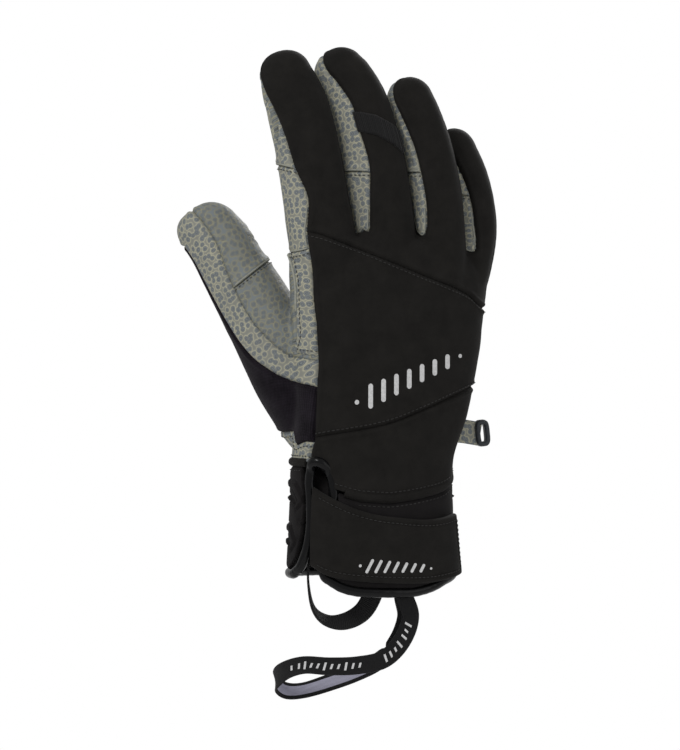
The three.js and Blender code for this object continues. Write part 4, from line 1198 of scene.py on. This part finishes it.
def sweep(path, width_dir, section, closed=False):
    """A tube of the section along a path; section columns are along the width and the thickness."""
    path, width_dir = np.asarray(path, float), np.asarray(width_dir, float)
    if closed:
        tangent = unit(np.roll(path, -1, 0) - np.roll(path, 1, 0))
    else:
        tangent = unit(np.gradient(path, axis=0))
    w = unit(width_dir - tangent * (width_dir * tangent).sum(1, keepdims=True))
    h = np.cross(tangent, w)
    section = np.asarray(section, float)
    if section.ndim == 2:
        section = np.repeat(section[None], len(path), 0)
    points = path[:, None, :] + w[:, None, :] * section[..., :1] + h[:, None, :] * section[..., 1:2]
    n, m = len(path), section.shape[1]
    index = np.arange(n * m).reshape(n, m)
    nxt = np.roll(index, -1, 0) if closed else index[1:]
    cur = index if closed else index[:-1]
    a, b = cur, np.roll(cur, -1, 1)
    c, d = np.roll(nxt, -1, 1), nxt
    faces = [tuple(f) for f in np.stack([a, d, c, b], -1).reshape(-1, 4)]
    if not closed:
        faces.append(tuple(index[0]))
        faces.append(tuple(index[-1][::-1]))
    step = np.linalg.norm(np.diff(path, axis=0, append=path[:1] if closed else path[-1:]), axis=1)
    along = np.concatenate([[0], np.cumsum(step)[:-1]])
    girth = np.linalg.norm(np.diff(section[0], axis=0, prepend=section[0][-1:]), axis=1).cumsum()
    uv = np.stack(np.broadcast_arrays(along[:, None], girth[None, :]), -1).reshape(-1, 2)
    return points.reshape(-1, 3), faces, uv


def circle(radius, n):
    t = np.arange(n) / n * 2 * np.pi
    return np.stack([radius * np.cos(t), radius * np.sin(t)], 1)


def outward(deg):
    """The cuff's outward direction at each angle."""
    t = np.radians(deg) + TILT
    return np.stack([np.sin(t), -np.cos(t), 0 * t], -1)


def on_cuff(deg, z, grow):
    """Points of the cuff's surface with their outward directions."""
    return np.concatenate([cuff_point(deg, z, grow), outward(deg)], -1)


def make_binding():
    """Glossy binding round the hem and up both sides of the slit."""
    middle = -CUFF_WALL / 2

    def along_hem(angles, drop=0.0):
        return [on_cuff(d, float(hem(d)) - drop, middle) for d in angles]

    def beside_slit(col, heights, grow):
        return [on_cuff(deg_for(table(SLIT, z, col), z), z, grow) for z in heights]

    ring = np.array([
        *along_hem(np.arange(-31, 269, 11)), on_cuff(-86, 1.5, middle + 0.4), on_cuff(-80, 3, middle + 0.4),
        *beside_slit(1, (6, 15, 26, 38, 47, 53), middle + 0.6), *beside_slit(1, (56.5,), 0.6),
        *beside_slit(2, (56.5,), 0.6), *beside_slit(2, (52, 45, 36, 24, 12, 4), middle - 0.4),
        *along_hem((-46, -41), 0.2),
    ])
    fine = spline(np.vstack([ring[-2:], ring, ring[:3]]), 12)[24:-24]
    fine = fine[:-1] if np.linalg.norm(fine[0, :3] - fine[-1, :3]) < 0.5 else fine
    t = np.arange(24) / 24 * 2 * np.pi
    wave = 1 + 0.018 * np.sin(np.arange(len(fine)) * 0.9)[:, None] * np.cos(t * 2)[None, :]
    radius = (BIND_R + 0.15) * wave
    section = np.stack([radius * np.cos(t), radius * np.sin(t) * 1.05], -1)
    piece("edge_binding", "binding", sweep(fine[:, :3], fine[:, 3:], section, True))


def make_roll():
    """Rolled seam along the cuff's upper edge."""
    deg = np.arange(-30, 292.1, 1.6)
    line = on_cuff(deg, cuff_top(deg), -1.2)
    piece("cuff_seam_roll", "softshell", sweep(line[:, :3], line[:, 3:], circle(ROLL_R - 0.2, 16)))


def make_gusset():
    """Thin folded cloth behind the slit."""
    deg, z = np.meshgrid(np.linspace(-92, -34, 60), np.linspace(6, 50, 44))
    fold = 0.9 * np.sin(np.radians(deg) * 14)
    piece("slit_gusset", "cuff_cloth", plate(deg, z, -CUFF_WALL - 2.2 + fold, -CUFF_WALL - 3.4 + fold))


def strap_edge(deg, col):
    """Height of the strap's upper (1) or lower (2) edge."""
    return table(spline(STRAP, 6), deg, col)


def make_strap():
    """Strap laid over the slit, with rounded edges and a sewn groove."""
    rows, cols = 70, 260
    deg, f = np.meshgrid(np.linspace(-56, STRAP_END, cols), np.linspace(0, 1, rows))
    deg = deg - 9.0 * smoothstep(deg, 40, STRAP_END) * np.clip(f - 0.1, 0, 1) ** 0.8
    low, high = strap_edge(deg, 2), strap_edge(deg, 1)
    z = low + (high - low) * f
    arc = arc_of(deg)
    edge = np.minimum(np.minimum(z - low, high - z), np.maximum(arc[:, -1:] - arc, 0))
    round_off = np.sqrt(np.clip(edge / 1.1, 0, 1))
    groove = 0.3 * np.exp(-((edge - 3.0) / 0.55) ** 2)
    wave = 0.35 * value_noise(cuff_point(deg, z, 0).reshape(-1, 3), 15, 12).reshape(deg.shape)
    outer = STRAP_LIFT + STRAP_THICK * (0.45 + 0.55 * round_off) - groove + wave
    piece("closure_strap", "softshell", plate(deg, z, outer, np.full(deg.shape, STRAP_LIFT)))


def ribbon(rows, width, steps, thick=WEB_THICK):
    """Webbing with rounded edges along rows of places and width directions; returns its section too."""
    fine = spline(rows, steps)
    r = thick / 2
    half = width / 2 - r
    arc = np.radians(np.arange(-90, 91, 30))
    right = [(half + r * math.cos(t), r * math.sin(t)) for t in arc]
    top = [(x, r) for x in np.linspace(half, -half, 7)[1:-1]]
    section = np.array([*right, *top])
    section = np.vstack([section, -section])
    return sweep(fine[:, :3], fine[:, 3:], section), section


def make_tape():
    """Flat tape hanging from inside the hem, dark outside and pale inside."""
    front = -CUFF_WALL - 1.3

    def leg(z, grow, turn):
        tangent = unit(cuff_point(TAPE_AT + 2, z, grow) - cuff_point(TAPE_AT - 2, z, grow)) * turn
        return [*cuff_point(TAPE_AT, z, grow), *tangent]

    rows = [leg(9, front, 1), leg(0, front, 1), leg(-9, front - 0.3, 1)] + TAPE
    rows += [leg(-9, front - 2.4, -1), leg(0, front - 2.0, -1), leg(9, front - 1.7, -1)]
    (points, faces, uv), section = ribbon(rows, TAPE_WIDTH, 12)
    inner = (section[:, 1] < -0.3) & (np.abs(section[:, 0]) < TAPE_WIDTH / 2 - 1.2)
    looks = [int(len(face) == 4 and all(inner[i % len(section)] for i in face)) for face in faces]
    make_object("tape_loop", "tape_loop", points, faces, ["tape_out", "tape_in"], uv, looks)


def make_band():
    """Ribbed webbing across the back of the middle finger."""
    tube = TUBES["middle"]
    upper = [(-30, 231), (-5, 231), (3, 229.5), (10.6, 225.5), (17, 220.5), (40, 208)]
    height, rows, cols = 10, 24, 80
    grid = np.empty((rows, cols, 6))
    for row, (col, t) in product(range(rows), enumerate(np.radians(np.linspace(-14, 96, cols)))):
        cu, cv = power(math.sin(t), 2 / FINGER_POWER), -power(math.cos(t), 2 / FINGER_POWER)
        line = tube["c"] + tube["across"] * (tube["a"] * cu)[:, None]
        line = line + tube["palm"] * (tube["b"] * cv)[:, None]
        z = table(upper, line[:, 0]) - height * (1 - row / (rows - 1))
        i = int(np.argmin(np.abs(line[:, 2] - z)))
        j = min(max(i, 1), len(line) - 2)
        grid[row, col, :3] = line[j] + tube["along"][j] * (z[i] - line[j, 2]) / tube["along"][j][2]
        grid[row, col, 3:] = unit(tube["across"][j] * cu / tube["a"][j] + tube["palm"][j] * cv / tube["b"][j])
    arc = arc_length(grid[rows // 2, :, :3])
    step = np.arange(rows)[:, None]
    edge = np.sqrt(np.clip(np.minimum(step, rows - 1 - step) / 2.0, 0, 1))
    ribs = 0.16 * np.sin(arc * 2 * np.pi / 1.25)
    front = grid[..., :3] + grid[..., 3:] * (0.35 + (0.75 + ribs) * edge)[..., None]
    piece("finger_band", "webbing", shell(front, grid[..., :3] - grid[..., 3:] * 0.4, (arc, step * 0.43)))


def make_tab():
    """Flat leather tab, lengthened into the clip."""
    path = spline(TAB_PATH, 8)
    path = np.vstack([path, path[-1] + unit(path[-1] - path[-3]) * 5.6])
    rows = [[*p, 0, 0, 1] for p in [*path[:-1:4], path[-1]]]
    piece("side_tab", "leather", ribbon(rows, 12, 4, 1.6)[0])


def rotation(degrees):
    """A turn within a plane."""
    c, s = math.cos(math.radians(degrees)), math.sin(math.radians(degrees))
    return np.array([[c, -s], [s, c]])


def make_clip():
    """Moulded clip: a rounded frame round its window."""
    steps = 48
    t = np.arange(steps) / steps * 2 * np.pi
    path = np.stack([2.5 * power(np.cos(t), 0.5), 0 * t, 5.5 * power(np.sin(t), 0.5)], 1)
    t = np.arange(16) / 16 * 2 * np.pi
    section = np.stack([2.6 * power(np.cos(t), 0.6), 1.3 * power(np.sin(t), 0.7)], 1)
    points, faces, uv = sweep(path, np.tile([0.0, 1.0, 0.0], (steps, 1)), section, True)
    points[:, [0, 2]] = points[:, [0, 2]] @ rotation(6).T
    points[:, [0, 1]] = points[:, [0, 1]] @ rotation(17).T
    piece("side_clip", "plastic", (points + np.array(CLIP_AT), faces, uv))


make_binding()
make_roll()
make_gusset()
make_strap()
piece("pull_loop", "webbing", ribbon(PULL, PULL_WIDTH, 12)[0])
make_tape()
make_band()
make_tab()
make_clip()


# Stitches, folded edges and printed marks

def contour(points, tris, values, level=0.0):
    """Lines of equal value on a mesh, as runs of points with the mesh's columns."""
    v = values - level
    above = v[tris] > 0
    count = above.sum(1)
    pick = (count == 1) | (count == 2)
    tris, above = tris[pick], above[pick]
    if not len(tris):
        return []
    lone = np.where(above.sum(1) == 1, above.argmax(1), (~above).argmax(1))
    r = np.arange(len(tris))
    a, b, c = tris[r, lone], tris[r, (lone + 1) % 3], tris[r, (lone + 2) % 3]
    p, q, index = crossed_edges(a, b, c, len(points))
    t = (v[p] / (v[p] - v[q]))[:, None]
    places = points[p] + t * (points[q] - points[p])
    ends = np.stack([index[:len(tris)], index[len(tris):]], 1).tolist()
    near = {}
    for one, two in ends:
        near.setdefault(one, []).append(two)
        near.setdefault(two, []).append(one)
    used, runs = set(), []
    for start in sorted(near, key=lambda k: len(near[k])):
        if start in used:
            continue
        run, here = [start], start
        used.add(start)
        while True:
            onward = [k for k in near[here] if k not in used]
            if not onward:
                break
            here = onward[0]
            used.add(here)
            run.append(here)
        if len(run) > 4:
            closed = len(run) > 8 and start in near[here]
            runs.append(places[run + run[:1]] if closed else places[run])
    return runs


def resampled(run, step):
    """Points at equal distances along a run."""
    length = arc_length(run[:, :3])
    n = max(2, int(length[-1] / step))
    at = (np.arange(n) + 0.5) * length[-1] / n
    return np.stack([np.interp(at, length, column) for column in run.T], 1)


def eased(run, times=3):
    """A run with its corners softened."""
    run = run.copy()
    for _ in range(times):
        run[1:-1] = 0.5 * run[1:-1] + 0.25 * (run[:-2] + run[2:])
    return run


# One stitch: places along it, each with its share of the width
STITCH_RINGS = [(-1.0, 0.25), (-0.8, 0.8), (0.0, 1.0), (0.8, 0.8), (1.0, 0.25)]
STITCH_SIDES = 6
STITCH_LENGTH = 1.5


def stitches(name, slot_name, runs, look, pitch=2.3, radius=0.27):
    """Short raised threads along runs of points and normals."""
    sides = STITCH_SIDES
    turns = [(math.cos(k * 2 * math.pi / sides), math.sin(k * 2 * math.pi / sides)) for k in range(sides)]
    one = [(i, i + 1 - sides * (i % sides == sides - 1)) for i in range(sides * (len(STITCH_RINGS) - 1))]
    one = [(i, j, j + sides, i + sides) for i, j in one]
    last = sides * (len(STITCH_RINGS) - 1)
    one += [tuple(range(sides - 1, -1, -1)), tuple(range(last, last + sides))]
    points, faces = [], []
    for run in runs:
        run = resampled(eased(run), pitch)
        if len(run) < 3:
            continue
        tangent = unit(np.gradient(run[:, :3], axis=0))
        normal = unit(run[:, 3:6] - tangent * (run[:, 3:6] * tangent).sum(1, keepdims=True))
        for p, t, n, b in zip(run[:, :3], tangent, normal, np.cross(tangent, normal)):
            faces += [tuple(len(points) + i for i in face) for face in one]
            for along, width in STITCH_RINGS:
                height = 0.05 + 0.14 * (1 - along * along)
                for c, s in turns:
                    rise = n * (height + radius * width * s) + b * radius * width * c
                    points.append(p + t * (along * STITCH_LENGTH / 2) + rise)
    if points:
        points = np.array(points)
        make_object(name, slot_name, points, faces, [look], points[:, [0, 2]])


def beads(name, slot_name, runs, radius, lift=0.0):
    """Thin folded edges along runs of points and normals."""
    points, faces, uvs, count = [], [], [], 0
    for run in runs:
        run = resampled(eased(run, 4), 0.9)
        if len(run) < 4:
            continue
        place = np.arange(len(run))
        taper = np.clip(np.minimum(place, place[::-1]) / 2.0, 0.15, 1)
        section = circle(1, 8)[None] * radius * taper[:, None, None]
        own, own_faces, uv = sweep(run[:, :3] + run[:, 3:6] * lift, run[:, 3:6], section)
        points.append(own)
        uvs.append(uv)
        faces += [tuple(k + count for k in f) for f in own_faces]
        count += len(own)
    if points:
        make_object(name, slot_name, np.vstack(points), faces, ["leather_edge"], np.vstack(uvs))


def longer(runs, least):
    """The runs longer than a length."""
    return [run for run in runs if arc_length(run[:, :3])[-1] > least]


def on_panel(name, field, level, least, keep=None):
    """Longer runs on a finished panel where a field has the level in the rest places, or their kept parts."""
    points, tris, normal, rest_points = FINAL[name]
    runs = contour(np.hstack([points, normal]), tris, field(rest_points), level)
    if keep is not None:
        runs = [run for run in (run[keep(run)] for run in runs) if len(run) > 4]
    return longer(runs, least)


for seam, panel, field, level, least, thread in (
    ("upper", "back_middle_panel", upper_field, -1.9, 20, "thread_black"),
    ("lower", "back_middle_panel", lower_field, 1.8, 20, "thread_black"),
    ("wrist", "back_wrist_panel", above_cuff, 2.6, 20, "thread_black"),
    ("palm", "palm_panel", palm_field, -2.2, 15, "thread_grey"),
    ("thumb", "palm_panel", thumb_field, -2.2, 15, "thread_grey"),
    ("palm_cuff", "palm_panel", above_cuff, 2.6, 15, "thread_grey"),
):
    stitches(f"stitches_{seam}", panel, on_panel(panel, field, level, least), thread)
for name in ORDER:
    tip, base, field = f"{name}_front_tip", f"{name}_front_base", cross_field(name)
    stitches(f"stitches_{base}", base, on_panel(base, field, -1.9, 10), "thread_grey")
    beads(f"fold_{name}", base, on_panel(tip, field, 0.7, 8), 0.5)
    beads(f"fold_{base}", base, on_panel(base, palm_field, 0.8, 8), 0.5)
    beads(f"rim_{name}", base, on_panel(base, back_field, -0.9, 6, lambda run: run[:, 2] < 184), 0.42)


def in_thumb_web(run):
    return (run[:, 2] > 131) & (run[:, 2] < 163) & (run[:, 1] < 4)


stitches("stitches_pad", "thumb_pad_base", on_panel("thumb_pad_base", pad_cross, -1.9, 8), "thread_grey")
beads("fold_pad", "thumb_pad_tip", on_panel("thumb_pad_tip", pad_cross, 0.7, 8), 0.55)
beads("fold_web", "palm_panel", on_panel("palm_panel", thumb_field, -0.8, 10, in_thumb_web), 0.7, 0.3)
patch_rows = longer(contour(PATCH_DATA, PATCH_TRIS, PATCH_EDGE, 2.3), 20)
stitches("stitches_patch", "palm_patch", patch_rows, "thread_grey")
beads("fold_patch", "palm_patch", longer(contour(PATCH_DATA, PATCH_TRIS, PATCH_EDGE, 0.45), 20), 0.4)


def strap_rows():
    """Rows of stitches inside the strap's upper edge, free end and lower edge."""
    inset, end, lean = 3.0, STRAP_END - 2.2, 7.0
    deg, f = np.linspace(-50, end, 110), np.linspace(0, 1, 24)
    top = deg[deg < end - lean]
    low, high = strap_edge(end, 2) + inset, strap_edge(end, 1) - inset
    rows = ((top, strap_edge(top, 1) - inset), (end - lean * f, low + f * (high - low)),
            (deg, strap_edge(deg, 2) + inset))
    return [on_cuff(angles, heights, STRAP_LIFT + STRAP_THICK - 0.1) for angles, heights in rows]


stitches("stitches_strap", "closure_strap", strap_rows(), "thread_black", 2.3, 0.26)
cuff_angles = np.arange(-20, 285, 1.5)
cuff_row = on_cuff(cuff_angles, cuff_top(cuff_angles) - ROLL_R - 1.6, -0.1)
stitches("stitches_cuff", "cuff", [cuff_row], "thread_black", 2.4, 0.26)


def motif(points2, place, turn, size):
    """Signed distance to a plain row of slanted bars that shrink towards one end, between two dots."""
    p = (points2 - np.array(place)) @ rotation(turn) / size
    lines = []
    for k in range(7):
        x, tall = -22 + k * 7.0, 4.6 - 0.38 * k
        lines.append(((x - tall * 0.45, -tall, 1.15), (x + tall * 0.45, tall, 1.15)))
    lines.append(((-29.5, -0.1, 1.1), (-29.4, 0.1, 1.1)))
    lines.append(((27.0, -0.1, 0.9), (27.1, 0.1, 0.9)))
    return shape_distance(p, lines) * size


def printed(name, slot_name, data, tris, place, turn, size, lift):
    """The motif cut out of a surface and lifted off it."""
    (marks, tris), _, _ = cut(data, tris, motif(data[:, [0, 2]], place, turn, size))
    make_object(name, slot_name, marks[:, :3] + marks[:, 3:6] * lift, tris, ["white_print"], marks[:, [0, 2]])


points, tris, normal, _ = FINAL["back_middle_panel"]
printed("mark_back", "back_middle_panel", np.hstack([points, normal]), tris, (20.5, 98.5), 24, 1.0, 0.14)
deg, z = np.meshgrid(np.linspace(-25, 60, 340), np.linspace(-2, 14, 60))
quads = grid_faces(*deg.shape)[1]
printed("mark_strap", "closure_strap", on_cuff(deg, z, STRAP_LIFT + STRAP_THICK).reshape(-1, 6),
        np.vstack([quads[:, :3], quads[:, [0, 2, 3]]]), (13.5, 4.9), -3, 0.62, 0.32)


def tape_marks():
    """Pale slanted bars along the outer face of the tape."""
    fine = spline(TAPE, 12)
    tangent = unit(np.gradient(fine[:, :3], axis=0))
    width = unit(fine[:, 3:] - tangent * (fine[:, 3:] * tangent).sum(1, keepdims=True))
    face = np.cross(tangent, width)
    length = arc_length(fine[:, :3])
    points = []
    for at in np.arange(4, 74, 3.4):
        if 27 < at < 36:
            continue
        i = int(np.searchsorted(length, at))
        middle = fine[i, :3] + face[i] * (WEB_THICK / 2 + 0.12)
        tall = 1.5 + 0.5 * math.sin(at * 0.6)
        for x, y in ((-1.0, -tall), (0.1, -tall), (1.0, tall), (-0.1, tall)):
            points.append(middle + tangent[i] * x + width[i] * y)
    points = np.array(points)
    faces = np.arange(len(points)).reshape(-1, 4)
    make_object("mark_tape", "tape_loop", points, faces, ["white_print"], points[:, [0, 2]])


tape_marks()


# Camera, light and floor
CAMERA_AT = (-14.75, -2500.0, 100.0)
FIELD_HEIGHT = 375.0

camera_data = bpy.data.cameras.new("camera")
camera_data.sensor_fit = "VERTICAL"
camera_data.sensor_height = 36
camera_data.lens = 36 * -CAMERA_AT[1] / FIELD_HEIGHT
camera_data.clip_end = 20
camera = bpy.data.objects.new("camera", camera_data)
camera.location = [c * MM for c in CAMERA_AT]
camera.rotation_euler = (math.radians(90), 0, 0)
bpy.context.scene.collection.objects.link(camera)
bpy.context.scene.camera = camera


def area_light(name, place, energy, size):
    """A square lamp that faces the glove."""
    data = bpy.data.lights.new(name, "AREA")
    data.energy = energy
    data.size = size
    obj = bpy.data.objects.new(name, data)
    obj.location = place
    obj.rotation_euler = (Vector((0, 0, 0.1)) - Vector(place)).to_track_quat("-Z", "Y").to_euler()
    bpy.context.scene.collection.objects.link(obj)


area_light("key", (-0.9, -1.2, 1.4), 17, 0.55)
area_light("fill", (1.4, -0.9, 0.4), 3, 1.0)
area_light("back", (0.7, 1.5, 1.0), 15, 0.7)

world = bpy.data.worlds.new("studio")
world.use_nodes = True
studio = world.node_tree
studio.nodes["Background"].inputs["Color"].default_value = (1, 1, 1, 1)
rays = node_of(studio, "ShaderNodeLightPath")
strength = node_of(studio, "ShaderNodeMapRange", {"To Min": 0.52, "To Max": 1.0})
link(studio, rays, "Is Camera Ray", strength, "Value")
link(studio, strength, "Result", studio.nodes["Background"], "Strength")
bpy.context.scene.world = world
bpy.context.scene.view_settings.view_transform = "Standard"

low, high, level = -0.7, 0.7, -0.2
corners = [(low, low, level), (high, low, level), (high, high, level), (low, high, level)]
floor_mesh = bpy.data.meshes.new("floor")
floor_mesh.from_pydata(corners, [], [(0, 1, 2, 3)])
floor = bpy.data.objects.new("floor", floor_mesh)
floor_material = bpy.data.materials.new("floor_pale")
floor_material.use_nodes = True
floor_shader = floor_material.node_tree.nodes["Principled BSDF"]
floor_shader.inputs["Base Color"].default_value = (0.9, 0.9, 0.9, 1)
floor_shader.inputs["Roughness"].default_value = 0.9
floor_mesh.materials.append(floor_material)
bpy.context.scene.collection.objects.link(floor)
